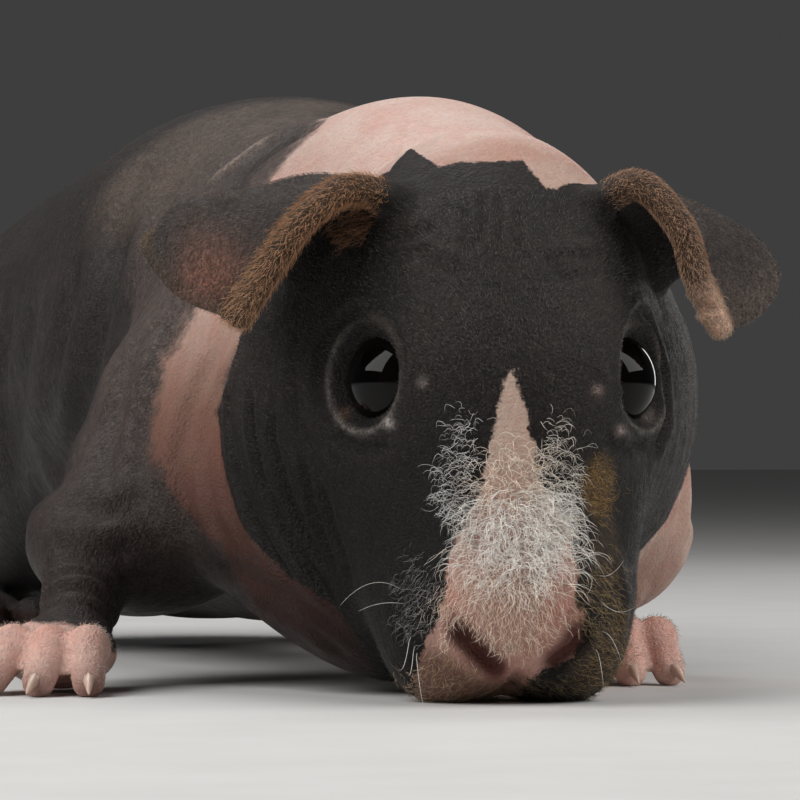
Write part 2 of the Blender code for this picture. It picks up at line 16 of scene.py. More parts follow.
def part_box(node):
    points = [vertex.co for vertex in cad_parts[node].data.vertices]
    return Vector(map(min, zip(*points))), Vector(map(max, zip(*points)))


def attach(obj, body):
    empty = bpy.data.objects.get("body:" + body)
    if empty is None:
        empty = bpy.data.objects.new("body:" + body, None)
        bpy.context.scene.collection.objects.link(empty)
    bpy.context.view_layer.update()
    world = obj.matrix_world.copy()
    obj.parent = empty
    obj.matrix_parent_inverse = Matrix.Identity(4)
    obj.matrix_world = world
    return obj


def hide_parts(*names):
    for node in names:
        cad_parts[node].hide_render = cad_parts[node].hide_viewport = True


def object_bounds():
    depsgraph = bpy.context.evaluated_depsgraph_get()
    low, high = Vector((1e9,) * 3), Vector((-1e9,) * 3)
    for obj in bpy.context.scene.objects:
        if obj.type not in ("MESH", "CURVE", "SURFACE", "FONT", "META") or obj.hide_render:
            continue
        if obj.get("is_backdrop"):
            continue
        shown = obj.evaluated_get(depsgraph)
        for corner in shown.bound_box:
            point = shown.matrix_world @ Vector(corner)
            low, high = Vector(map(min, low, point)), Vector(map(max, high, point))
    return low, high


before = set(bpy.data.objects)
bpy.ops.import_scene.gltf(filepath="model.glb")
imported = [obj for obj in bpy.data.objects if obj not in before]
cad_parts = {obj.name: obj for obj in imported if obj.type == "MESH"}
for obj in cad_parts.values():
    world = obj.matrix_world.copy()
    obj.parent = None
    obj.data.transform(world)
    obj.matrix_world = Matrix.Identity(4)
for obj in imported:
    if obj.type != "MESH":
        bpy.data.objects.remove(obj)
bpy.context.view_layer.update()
rng = np.random.default_rng(7)

MM = 1000

HEAD_AT = Vector((-0.0084, -0.0520, 0.0375))
HEAD_PITCH = math.radians(58)
HEAD_TURN = math.radians(-9)
EYE_R = 0.0060
EYE_OFFSET = {"R": -0.0121, "L": 0.0124}
EYE_AIM = Vector((0.850, -0.200, 0.495)).normalized()
LID_OUT = {"R": 0.0030, "L": 0.0024}
LID_RING = 0.0059
LID_THICK = 0.0010
LID_OPEN_OUT = 0.0080
LID_OPEN_R = 0.0072
LID_OPEN_AIM = {"R": Vector((-0.850, -0.200, 0.495)), "L": Vector((0.700, -0.300, 0.650))}
LID_OPEN_BLEND = 0.0020
LID_BLEND = 0.0022
LID_SEED = (0.0014, 0.0014, 0.0014)
EYE_ROOM = 0.022
LID_ROOM = 0.016
WRIST_ROOM = 0.011
MUZZLE_ROOM = 0.022
CREASE_BLEND = 0.0010
EAR_BLEND = 0.0028
FLOOR_CUT = 0.0002
FAR = 0.05
REACH = 0.0035
MOST_PULL = 0.002
FORE_PALM, FINGER_LONG = (0.0070, 0.0068, 0.0044), 0.0098
HIND_PALM, TOE_LONG = (0.0062, 0.0062, 0.0040), 0.0115
FINGER_R = 0.0023

COARSE = 0.0010
FINE = 0.00055


# The body's forms.


def turned(pitch=0.0, yaw=0.0, roll=0.0):
    """Turn about X, then Y, then Z, in radians."""
    return Matrix.Rotation(yaw, 3, "Z") @ Matrix.Rotation(roll, 3, "Y") @ Matrix.Rotation(pitch, 3, "X")


HEAD_TURNS = turned(HEAD_PITCH, HEAD_TURN)
HEAD_AXES = np.array(HEAD_TURNS)


def head_point(x, y, z):
    """A point given in the head's own frame."""
    return HEAD_AT + HEAD_TURNS @ Vector((x, y, z))


def unit(v):
    return v / np.maximum(np.linalg.norm(v, axis=-1), 1e-12)[..., None]


def away(off):
    """The lengths of offsets, and their directions."""
    far = np.linalg.norm(off, axis=1)
    return far, off / np.maximum(far, 1e-9)[:, None]


def within(p, centre, room):
    """The indices of the points that lie nearer to a centre than room."""
    return np.nonzero(((p - np.array(centre)) ** 2).sum(1) < room**2)[0]


class Ball:
    """An ellipsoid: centre, radii, turn, and how widely it melts into what is already there."""

    def __init__(self, centre, radii, blend, turn=None):
        self.centre = np.array(centre, float)
        self.radii = np.array(radii, float)
        self.blend = blend
        self.axes = np.array(turn or Matrix.Identity(3), float)
        self.middle, self.reach = self.centre, self.radii.max()

    def distance(self, p):
        q = (p - self.centre) @ self.axes
        near = np.linalg.norm(q / self.radii, axis=1)
        steep = q / self.radii**2
        slope = np.maximum(np.linalg.norm(steep, axis=1), 1e-9)
        return near * (near - 1) / slope, (steep / slope[:, None]) @ self.axes.T

    def seed(self, bm):
        place = Matrix.Translation(self.centre) @ Matrix(self.axes.tolist()).to_4x4()
        place = place @ Matrix.Diagonal((*self.radii, 1))
        bmesh.ops.create_icosphere(bm, subdivisions=3, radius=1.0, matrix=place)


class Taper:
    """A round limb from a to b, whose radius goes from the first to the second."""

    def __init__(self, a, b, radius_a, radius_b, blend):
        self.a, self.b = np.array(a, float), np.array(b, float)
        self.radius_a, self.radius_b = radius_a, radius_b
        self.blend = blend
        self.middle = (self.a + self.b) / 2
        self.reach = np.linalg.norm(self.b - self.a) / 2 + max(radius_a, radius_b)

    def distance(self, p):
        along = self.b - self.a
        t = np.clip((p - self.a) @ along / (along @ along), 0, 1)
        far, slope = away(p - self.a - t[:, None] * along)
        return far - (self.radius_a + t * (self.radius_b - self.radius_a)), slope

    def seed(self, bm):
        for centre, radius in ((self.a, self.radius_a), (self.b, self.radius_b)):
            bmesh.ops.create_icosphere(bm, subdivisions=2, radius=radius, matrix=Matrix.Translation(centre))
        along = Vector(self.b - self.a)
        place = Matrix.Translation(self.middle) @ along.to_track_quat("Z", "Y").to_matrix().to_4x4()
        bmesh.ops.create_cone(
            bm, cap_ends=True, segments=16, radius1=self.radius_a, radius2=self.radius_b,
            depth=along.length, matrix=place,
        )


def head_ball(centre, radii, blend):
    """An ellipsoid given in the head's own frame."""
    return Ball(head_point(*centre), radii, blend, HEAD_TURNS)


def trunk_parts():
    """Rump, belly, chest and the hump over the shoulders."""
    return [
        Ball((-0.001, 0.062, 0.0415), (0.0365, 0.054, 0.0362), 0.0),
        Ball((-0.001, 0.102, 0.0385), (0.0360, 0.047, 0.0342), 0.010),
        Ball((-0.003, 0.020, 0.0390), (0.0285, 0.040, 0.0310), 0.014),
        Ball((-0.0015, -0.003, 0.0505), (0.0180, 0.028, 0.0218), 0.014),
    ]


def neck_parts():
    """The thick neck and the loose skin of the throat."""
    return [
        Taper((-0.0020, -0.004, 0.0422), (-0.0078, -0.036, 0.0420), 0.0247, 0.0205, 0.012),
        Ball((-0.0100, -0.027, 0.0190), (0.0185, 0.024, 0.0176), 0.010),
        Ball((-0.0195, -0.0235, 0.0325), (0.0122, 0.0195, 0.0200), 0.010),
        Ball((0.0125, -0.0235, 0.0325), (0.0105, 0.0180, 0.0190), 0.010),
        Taper((-0.0290, -0.0100, 0.0225), (-0.0175, -0.0310, 0.0150), 0.0095, 0.0110, 0.006),
        Taper((0.0200, -0.0080, 0.0225), (0.0010, -0.0300, 0.0150), 0.0080, 0.0100, 0.006),
    ]


def head_parts():
    """Cranium, snout, lips, jaw, cheeks and brows."""
    parts = [
        head_ball((0, 0.009, 0.000), (0.0178, 0.024, 0.0175), 0.008),
        Taper(head_point(0, -0.002, 0.000), head_point(0, -0.023, -0.0055), 0.0140, 0.0100, 0.006),
        head_ball((0, -0.0275, -0.0075), (0.0100, 0.0070, 0.0080), 0.005),
        head_ball((0, -0.017, -0.0200), (0.0095, 0.0125, 0.0075), 0.005),
        head_ball((0, 0.006, -0.0200), (0.0200, 0.0180, 0.0140), 0.008),
    ]
    for x in (-1, 1):
        snout = head_point(x * 0.0085, -0.003, -0.009), head_point(x * 0.0075, -0.019, -0.0125)
        parts += [
            Taper(*snout, 0.0105, 0.0085, 0.007),
            head_ball((x * 0.0065, -0.0258, -0.0142), (0.0078, 0.0085, 0.0086), 0.004),
            head_ball((x * 0.0119, 0.0105, -0.0175), (0.0137, 0.0190, 0.0155), 0.008),
            head_ball((x * 0.0070, 0.000, 0.0000), (0.0078, 0.0110, 0.0088), 0.005),
        ]
    return parts


def paw_parts(wrist, aim, fingers, palm, finger_length, finger_radius, spread, tips):
    """A palm with fingers that fan out from it. Each finger's last part also goes into the list tips."""
    parts = []
    heading = Matrix.Rotation(-math.radians(aim), 3, "Z")
    centre = Vector(wrist) + heading @ Vector((0, -palm[1] * 0.7, 0))
    centre.z = palm[2] + 0.0005
    parts.append(Ball(centre, palm, 0.0025, heading))
    for n in range(fingers):
        share = n / (fingers - 1) - 0.5
        fan = Matrix.Rotation(-math.radians(aim) - share * math.radians(spread), 3, "Z")
        root = centre + heading @ Vector((-share * palm[0] * 1.5, -palm[1] * 0.45, 0))
        reach = finger_length * (1 - 0.35 * abs(share))
        knuckle = root + fan @ Vector((0, -reach * 0.5, 0.0010))
        tip = root + fan @ Vector((0, -reach, 0))
        tip.z = finger_radius * 0.85
        parts.append(Taper(root, knuckle, finger_radius, finger_radius * 1.12, 0.0012))
        parts.append(Taper(knuckle, tip, finger_radius * 1.08, finger_radius * 0.85, 0.0008))
        tips.append(parts[-1])
    return parts


FORELEGS = {
    "R": {
        "shoulder": (-0.0290, 0.006, 0.032), "elbow": (-0.0365, 0.003, 0.0200), "sleeve": 0.0128,
        "cuff": (-0.0428, -0.0020, 0.0174), "forearm": (-0.0450, -0.004, 0.0170),
        "wrist": (-0.0495, -0.0130, 0.0085), "aim": 40, "spread": 52,
    },
    "L": {
        "shoulder": (0.0200, 0.002, 0.030), "elbow": (0.0222, 0.001, 0.0205), "sleeve": 0.0096,
        "cuff": (0.0218, 0.0000, 0.0173), "forearm": (0.0210, -0.003, 0.0160),
        "wrist": (0.0192, -0.0085, 0.0085), "aim": 14, "spread": 34,
    },
}
# Hip, heel and the way the foot points, in degrees.
HINDLEGS = {
    "R": ((-0.0250, 0.104, 0.0325), (-0.0290, 0.122, 0.0070), 12),
    "L": ((0.0230, 0.104, 0.0325), (0.0270, 0.122, 0.0070), -12),
}
TIPS = {"fore": [], "hind": []}


def foreleg_parts(side):
    """Upper arm in its sleeve of loose skin, thin forearm and paw with four fingers."""
    leg = FORELEGS[side]
    out = -1 if side == "R" else 1
    return [
        Ball(leg["shoulder"], (0.0120, 0.0190, 0.0210), 0.008, turned(roll=-out * 0.35)),
        Taper(leg["shoulder"], leg["elbow"], 0.0120, 0.0095, 0.006),
        Ball(leg["elbow"], (leg["sleeve"], 0.0125, 0.0098), 0.006),
        Ball(leg["cuff"], (0.0098, 0.0102, 0.0072), 0.005),
        Taper(leg["forearm"], leg["wrist"], 0.0062, 0.0042, 0.003),
        *paw_parts(
            leg["wrist"], leg["aim"], 4, FORE_PALM, FINGER_LONG, FINGER_R, leg["spread"], TIPS["fore"],
        ),
    ]


def hindleg_parts(side):
    """Haunch and the long flat foot with three toes."""
    hip, heel, aim = HINDLEGS[side]
    hip, heel = Vector(hip), Vector(heel)
    ball = heel + Matrix.Rotation(-math.radians(aim), 3, "Z") @ Vector((0, -0.024, 0))
    ball.z = 0.0045
    heel.z = 0.0048
    return [
        Ball(hip, (0.0155, 0.0290, 0.0232), 0.010),
        Taper(hip, heel, 0.0120, 0.0052, 0.006),
        Taper(heel, ball, 0.0044, 0.0042, 0.003),
        *paw_parts(ball, aim, 3, HIND_PALM, TOE_LONG, FINGER_R, 34, TIPS["hind"]),
    ]


def eye_centre(side):
    return head_point(EYE_OFFSET[side], 0, 0)


def eye_aim(side):
    out = -1 if side == "R" else 1
    return (HEAD_TURNS @ Vector((EYE_AIM.x * out, EYE_AIM.y, EYE_AIM.z))).normalized()


def eye_axis(side):
    """An eye's centre and the way it looks, as arrays."""
    return np.array(eye_centre(side)), np.array(eye_aim(side))


# The ears' sheets, in mm, in a frame that is level and turned with the head.

EAR_THICK = 1.5
EAR_ROLL = 3.6
EAR_ROOT = Vector((-6, 8, 8))
EAR_NETS = {"R": (
    ((-12.5, -1.0, 21.4), (-18.5, -4.1, 21.8), (-23.5, -6.3, 17.8), (-27.3, -4.7, 11.5), (-29.8, -1.3, 6.4)),
    ((-13.5, 3.0, 21.0), (-20.0, 2.5, 23.4), (-26.5, 1.5, 21.0), (-32.0, 3.0, 15.8), (-36.7, 4.8, 8.9)),
    ((-16.0, 8.0, 17.0), (-21.5, 8.5, 22.0), (-29.0, 9.5, 21.3), (-36.0, 10.8, 20.0), (-39.5, 7.4, 11.8)),
    ((-18.0, 9.0, 8.0), (-24.0, 12.0, 12.5), (-31.0, 13.0, 15.5), (-38.0, 12.5, 18.0), (-41.5, 10.6, 16.2)),
), "L": (
    ((10.8, -2.7, 20.8), (15.4, -5.4, 22.8), (19.5, -8.1, 17.4), (21.1, -7.3, 11.7), (24.4, -4.8, 5.4)),
    ((12.0, 1.5, 21.2), (17.5, 0.0, 22.3), (23.0, 0.0, 19.0), (26.5, -0.5, 13.5), (29.5, -1.5, 6.6)),
    ((15.5, 7.0, 17.0), (20.0, 7.5, 20.5), (26.5, 7.0, 19.5), (31.5, 5.0, 16.0), (32.6, 0.8, 9.3)),
    ((17.5, 8.5, 9.0), (23.0, 11.0, 12.0), (29.0, 10.5, 14.5), (33.5, 8.0, 14.5), (34.3, 4.5, 12.8)),
)}
LEVEL = Matrix.Translation(HEAD_AT) @ Matrix.Rotation(HEAD_TURN, 4, "Z") @ Matrix.Scale(0.001, 4)


def through(values, t):
    """A smooth curve through evenly spaced values, at t from 0 to 1 (Catmull-Rom)."""
    last = len(values) - 1
    at = min(max(t, 0.0), 1.0) * last
    n = min(int(at), last - 1)
    f = at - n
    b, c = values[n], values[n + 1]
    a = values[n - 1] if n else b * 2 - c
    d = values[n + 2] if n + 2 <= last else c * 2 - b
    return b + 0.5 * f * (c - a + f * (2 * a - 5 * b + 4 * c - d + f * (3 * (b - c) + d - a)))


def ear_point(net, across, along):
    return through([through([Vector(p) for p in rib], along) for rib in net], across)


class Sheet:
    """An ear: a leaf of its own thickness round a mid-sheet, thick at its rolled front rim."""

    RIBS, STEPS, TUCK = 40, 44, 5
    FRONT, SPAN, LENGTH = 0.055, 0.925, 0.975  # the part of the net that the leaf covers, across and along
    ROOM = 0.006

    def __init__(self, side):
        net = EAR_NETS[side]
        root = EAR_ROOT if side == "R" else EAR_ROOT * Vector((-1, 1, 1))
        points, half, where = [], [], []
        for i in range(self.RIBS + 1):
            across = self.FRONT + self.SPAN * (i / self.RIBS) ** 1.3
            for j in range(-self.TUCK, self.STEPS + 1):
                along = self.LENGTH * max(j, 0) / self.STEPS
                here = ear_point(net, across, along)
                if j < 0:
                    here = here + (root - here) * 0.5 * (-j / self.TUCK)
                margin = min((1 - across) / 0.10, (1.0 - along) / 0.08, 1.0)
                leaf = EAR_THICK * (0.50 + 0.50 * max(margin, 0.0))
                roll = EAR_ROLL * (1 - 0.25 * along) * math.exp(-(((across - self.FRONT) / 0.10) ** 2))
                points.append(LEVEL @ here)
                half.append(max(leaf, roll) / 2 / MM)
                where.append((across, along if j >= 0 else 0.2 * j / self.TUCK))
        self.points = np.array(points)
        self.half = np.array(half)
        self.where = np.array(where)
        wide = self.wide = self.STEPS + self.TUCK + 1
        corner = [i * wide + j for i in range(self.RIBS) for j in range(wide - 1)]
        self.tris = [(a, a + 1, a + wide + 1) for a in corner] + [(a, a + wide + 1, a + wide) for a in corner]
        self.corners = np.array(self.tris)
        self.tree = BVHTree.FromPolygons(points, self.tris)
        self.low = self.points.min(0) - self.ROOM
        self.high = self.points.max(0) + self.ROOM
        middle = np.array([LEVEL @ ear_point(net, 0.5, 0.5)])
        self.outer = 1 if self.nearest(middle)[3][0][2] > 0 else -1  # which side of the sheet faces outward

    def near(self, p):
        return np.nonzero(((p > self.low) & (p < self.high)).all(1))[0]

    def nearest(self, p):
        """For each point: its foot on the mid-sheet, and there the half thickness, the place on the ear and
        the sheet's normal."""
        foot = np.empty_like(p)
        face = np.empty(len(p), int)
        normal = np.empty_like(p)
        for n, point in enumerate(p):
            foot[n], normal[n], face[n], _ = self.tree.find_nearest(point)
        a, b, c = (self.points[self.corners[face, n]] for n in range(3))
        ab, ac, ap = b - a, c - a, foot - a
        bb, bc, cc = (ab * ab).sum(1), (ab * ac).sum(1), (ac * ac).sum(1)
        pb, pc = (ap * ab).sum(1), (ap * ac).sum(1)
        under = np.maximum(bb * cc - bc * bc, 1e-24)
        v, w = (cc * pb - bc * pc) / under, (bb * pc - bc * pb) / under
        share = np.clip(np.stack([1 - v - w, v, w], 1), 0, 1)
        half = (self.half[self.corners[face]] * share).sum(1)
        where = (self.where[self.corners[face]] * share[:, :, None]).sum(1)
        return foot, half, where, normal

    def distance(self, p, extra):
        foot, half, _, _ = self.nearest(p)
        far, slope = away(p - foot)
        return far - half - extra, slope

    def seed(self, bm, extra):
        """A closed leaf about the mid-sheet, a little thicker than the ear, for the wrap."""
        grid = self.points.reshape(self.RIBS + 1, self.wide, 3)
        half = self.half.reshape(self.RIBS + 1, self.wide, 1) + extra
        first = grid[:1] - unit(grid[1:2] - grid[:1]) * half[:1] * 0.8
        last = grid[-1:] + unit(grid[-1:] - grid[-2:-1]) * half[-1:] * 0.8
        grid = np.concatenate([first, grid, last], axis=0)
        half = np.concatenate([half[:1] * 0.55, half, half[-1:] * 0.55], axis=0)
        tip = grid[:, -1:] + unit(grid[:, -1:] - grid[:, -2:-1]) * half[:, -1:] * 0.8
        grid = np.concatenate([grid, tip], axis=1)
        half = np.concatenate([half, half[:, -1:] * 0.55], axis=1)
        rows, wide = grid.shape[:2]
        out = unit(np.cross(np.gradient(grid, axis=0), np.gradient(grid, axis=1))) * half
        front = [bm.verts.new(v) for v in (grid + out).reshape(-1, 3)]
        back = [bm.verts.new(v) for v in (grid - out).reshape(-1, 3)]
        for i in range(rows - 1):
            for j in range(wide - 1):
                a, b, c, d = i * wide + j, i * wide + j + 1, (i + 1) * wide + j + 1, (i + 1) * wide + j
                for tri in ((a, b, c), (a, c, d)):
                    bm.faces.new([front[n] for n in tri])
                    bm.faces.new([back[n] for n in reversed(tri)])
        edge = [*range(wide)] + [i * wide + wide - 1 for i in range(1, rows)]
        edge += [(rows - 1) * wide + j for j in reversed(range(wide - 1))]
        edge += [i * wide for i in reversed(range(1, rows - 1))]
        for a, b in zip(edge, edge[1:] + edge[:1]):
            bm.faces.new((front[b], front[a], back[a]))
            bm.faces.new((front[b], back[a], back[b]))


# The field: every point's distance to the body's surface, and the way it grows.


def melt(a, b, k):
    """Smooth union over a width k, of values and their slopes."""
    (da, ga), (db, gb) = a, b
    if k <= 0:
        first = (da <= db)[:, None]
        return np.minimum(da, db), np.where(first, ga, gb)
    h = np.maximum(k - np.abs(da - db), 0) / k
    share = np.where(da <= db, h / 2, 1 - h / 2)[:, None]
    return np.minimum(da, db) - h * h * k / 4, ga * (1 - share) + gb * share


def carve(a, b, k):
    """Smooth cut of b out of a."""
    d, g = melt((-a[0], -a[1]), b, k)
    return -d, -g


def sphere(p, centre, radius):
    far, slope = away(p - np.array(centre))
    return far - radius, slope


def ring(p, centre, axis, major, minor):
    """Distance to a torus."""
    axis = np.array(axis)
    q = p - np.array(centre)
    up = q @ axis
    flat = q - up[:, None] * axis
    out = np.maximum(np.linalg.norm(flat, axis=1), 1e-9)
    far = np.maximum(np.hypot(out - major, up), 1e-9)
    slope = (flat / out[:, None] * (out - major)[:, None] + up[:, None] * axis) / far[:, None]
    return far - minor, slope


FLESH = [
    *trunk_parts(),
    *neck_parts(),
    *head_parts(),
    *foreleg_parts("R"),
    *foreleg_parts("L"),
    *hindleg_parts("R"),
    *hindleg_parts("L"),
]
EARS = {side: Sheet(side) for side in "RL"}


def both_sides(run):
    """A run in the head's frame, on either side of its middle."""
    return [[(sign * x, y, z) for x, y, z in run] for sign in (-1, 1)]


CLEFT = ((0, -0.0343, -0.0072), (0, -0.0352, -0.0100), (0, -0.0357, -0.0125), (0, -0.0350, -0.0150))
NOSTRIL = ((0.0062, -0.0317, -0.0045), (0.0046, -0.0332, -0.0054), (0.0028, -0.0344, -0.0066))
MOUTH = (
    (0, -0.0350, -0.0150), (0.0050, -0.0330, -0.0175), (0.0100, -0.0275, -0.0195), (0.0122, -0.0235, -0.0198),
)
CREASES = [(CLEFT, 0.0008)]
CREASES += [(run, 0.0011) for run in both_sides(NOSTRIL)]
CREASES += [(run, 0.0009) for run in both_sides(MOUTH)]


def join(field, idx, other, k, how=melt):
    """Melts another form into a field at the points idx, or carves it out of the field."""
    d, g = field
    d[idx], g[idx] = how((d[idx], g[idx]), other, k)


def smooth_flesh(p, ears=False, extra=0.0):
    """The field of the body with its lids but without its creases: distances and slopes."""
    field = np.full(len(p), FAR), np.zeros_like(p)
    for part in FLESH:
        idx = within(p, part.middle, part.reach + part.blend + REACH)
        if len(idx):
            join(field, idx, part.distance(p[idx]), part.blend)
    if ears:
        for sheet in EARS.values():
            idx = sheet.near(p)
            if len(idx):
                join(field, idx, sheet.distance(p[idx], extra), EAR_BLEND)
    for side in "RL":
        centre, aim = eye_centre(side), eye_aim(side)
        idx = within(p, centre, EYE_ROOM)
        if len(idx):
            opening = centre + HEAD_TURNS @ LID_OPEN_AIM[side] * LID_OPEN_OUT
            join(field, idx, sphere(p[idx], opening, LID_OPEN_R), LID_OPEN_BLEND, carve)
            lid = ring(p[idx], centre + aim * LID_OUT[side], aim, LID_RING, LID_THICK)
            join(field, idx, lid, LID_BLEND)
    return field


def set_on_skin(points):
    """Moves points onto the smooth skin."""
    p = np.array(points, float)
    for _ in range(12):
        d, g = smooth_flesh(p)
        p -= 0.7 * d[:, None] * g
    return p


def crease_tapers():
    tapers = []
    for run, radius in CREASES:
        points = set_on_skin([head_point(*point) for point in run])
        tapers += [Taper(a, b, radius, radius, 0) for a, b in zip(points, points[1:])]
    return tapers


CREASE_TAPERS = crease_tapers()
MUZZLE = np.array(head_point(0, -0.030, -0.012))


def flesh(p, ears=True, extra=0.0):
    """The field of the whole body: negative inside, zero on the skin."""
    field = smooth_flesh(p, ears, extra)
    idx = within(p, MUZZLE, MUZZLE_ROOM)
    if len(idx):
        for taper in CREASE_TAPERS:
            join(field, idx, taper.distance(p[idx]), CREASE_BLEND, carve)
    return field


# The skin's mesh.


def link(name, data):
    """A new object of the scene round a mesh, light or camera."""
    obj = bpy.data.objects.new(name, data)
    bpy.context.scene.collection.objects.link(obj)
    return obj


def applied(obj):
    graph = bpy.context.evaluated_depsgraph_get()
    mesh = bpy.data.meshes.new_from_object(obj.evaluated_get(graph))
    obj.modifiers.clear()
    obj.data = mesh
    return obj


def coordinates(mesh):
    p = np.empty(len(mesh.vertices) * 3)
    mesh.vertices.foreach_get("co", p)
    return p.reshape(-1, 3)


def put_coordinates(mesh, p):
    mesh.vertices.foreach_set("co", np.ascontiguousarray(p, dtype=np.float32).ravel())
    mesh.update()


def edge_ends(mesh):
    ends = np.empty(len(mesh.edges) * 2, int)
    mesh.edges.foreach_get("vertices", ends)
    return ends.reshape(-1, 2).T


def neighbour_mean(values, a, b, count):
    mean = [np.bincount(a, values[b, n], len(values)) + np.bincount(b, values[a, n], len(values))
            for n in range(values.shape[1])]
    return np.stack(mean, axis=1) / count[:, None]


def pulled(p, extra):
    """The points, moved onto the skin along the field's slope, and the slopes there."""
    d, g = flesh(p, True, extra)
    return p - np.clip(d, -MOST_PULL, MOST_PULL)[:, None] * g, g


def draw_onto_field(obj, rounds, extra):
    """Moves the mesh's points onto the skin, and evens them out."""
    mesh = obj.data
    p = coordinates(mesh)
    a, b = edge_ends(mesh)
    count = np.bincount(a, minlength=len(p)) + np.bincount(b, minlength=len(p))
    for _ in range(rounds):
        p, slope = pulled(p, extra)
        normal = unit(slope)
        shift = neighbour_mean(p, a, b, count) - p
        p += 0.5 * (shift - (shift * normal).sum(1)[:, None] * normal)
    put_coordinates(mesh, pulled(p, extra)[0])


def wrapped_body():
    """The skin's mesh: all forms and the lids' rings joined by a wrap, then drawn onto the field."""
    bm = bmesh.new()
    for part in FLESH:
        part.seed(bm)
    for side in "RL":
        centre, aim = eye_axis(side)
        across = unit(np.cross(aim, (0, 0, 1)))
        up = np.cross(across, aim)
        at = centre + aim * LID_OUT[side]
        for turn in np.linspace(0, 2 * math.pi, 24, endpoint=False):
            Ball(at + LID_RING * (across * math.cos(turn) + up * math.sin(turn)), LID_SEED, 0).seed(bm)
        EARS[side].seed(bm, 0.0006)
    bmesh.ops.recalc_face_normals(bm, faces=bm.faces)
    mesh = bpy.data.meshes.new("skin")
    bm.to_mesh(mesh)
    bm.free()
    body = link("skin", mesh)
    for voxel, rounds, extra in ((COARSE, 4, 0.0005), (FINE, 2, 0.0)):
        wrap = body.modifiers.new("wrap", "REMESH")
        wrap.mode = "VOXEL"
        wrap.voxel_size = voxel
        applied(body)
        draw_onto_field(body, rounds, extra)
    keep_largest(body)
    return body


def keep_largest(obj):
    """Drops every loose scrap and sealed surface but the largest closed one."""
    mesh = obj.data
    a, b = edge_ends(mesh)
    label = np.arange(len(mesh.vertices))
    while True:
        low = np.minimum(label[a], label[b])
        new = label.copy()
        np.minimum.at(new, a, low)
        np.minimum.at(new, b, low)
        new = new[new]
        if (new == label).all():
            break
        label = new
    kinds, sizes = np.unique(label, return_counts=True)
    drop = label != kinds[sizes.argmax()]
    if drop.any():
        bm = bmesh.new()
        bm.from_mesh(mesh)
        bm.verts.ensure_lookup_table()
        bmesh.ops.delete(bm, geom=[bm.verts[n] for n in np.nonzero(drop)[0]], context="VERTS")
        bm.to_mesh(mesh)
        bm.free()


# The camera, and places seen from it in its frame of 800 x 800 pixels.

PICTURE = 800
FOCAL = 5160.0  # in pixels
HORIZON = 428.0
CAMERA_AT = Vector((-0.206, -0.622, 0.032))
CAMERA_LOOK = Vector((0.309, 0.951, 0.0)).normalized()
CAMERA_RIGHT = Vector((CAMERA_LOOK.y, -CAMERA_LOOK.x, 0))
SENSOR = 36.0  # in mm
PIXEL = 0.125  # a pixel's width on the animal, in mm


def sight(px, py):
    """The direction from the camera through a point of the frame."""
    aside = CAMERA_RIGHT * ((px - PICTURE / 2) / FOCAL)
    return (CAMERA_LOOK + aside + Vector((0, 0, (HORIZON - py) / FOCAL))).normalized()


SHIFT = (sum(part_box("eye_right"), Vector()) / 2) - eye_centre("R")

skin = wrapped_body()
tree = BVHTree.FromObject(skin, bpy.context.evaluated_depsgraph_get())


def seen(px, py):
    """Where the line of sight through a point of the frame meets the skin."""
    return tree.ray_cast(CAMERA_AT, sight(px, py))[0]


def seen_run(points):
    """A run of such places, in steps of about a millimetre."""
    dense = []
    for (ax, ay), (bx, by) in zip(points, points[1:]):
        steps = max(2, int(math.hypot(bx - ax, by - ay) / 8))
        dense += [(ax + (bx - ax) * n / steps, ay + (by - ay) * n / steps) for n in range(steps)]
    dense.append(points[-1])
    hits = [seen(*point) for point in dense]
    return np.array([hit for hit in hits if hit is not None])


# Folds.


def along_run(p, run):
    """Each point's distance to a run of places, and how far along the run it lies, from 0 to 1."""
    best = np.full(len(p), 1.0)
    at = np.zeros(len(p))
    for n, (a, b) in enumerate(zip(run, run[1:])):
        ab = b - a
        t = np.clip((p - a) @ ab / max(ab @ ab, 1e-12), 0, 1)
        far = np.linalg.norm(p - a - t[:, None] * ab, axis=1)
        closer = far < best
        best[closer] = far[closer]
        at[closer] = (n + t[closer]) / (len(run) - 1)
    return best, at


def fold(p, height, run, width, depth, shoulder=0.35):
    """A crease along a run: a valley with low shoulders, fading out at both ends. In metres."""
    low, high = run.min(0) - 4 * width, run.max(0) + 4 * width
    idx = np.nonzero(((p > low) & (p < high)).all(1))[0]
    if not len(idx):
        return
    far, at = along_run(p[idx], run)
    fade = np.clip(np.sin(np.pi * np.clip(at, 0, 1)) * 2.2, 0, 1)
    u = far / width
    shape = -np.exp(-(u**2)) + shoulder * np.exp(-((u - 1.9) ** 2) / 0.8)
    height[idx] += depth * fade * shape


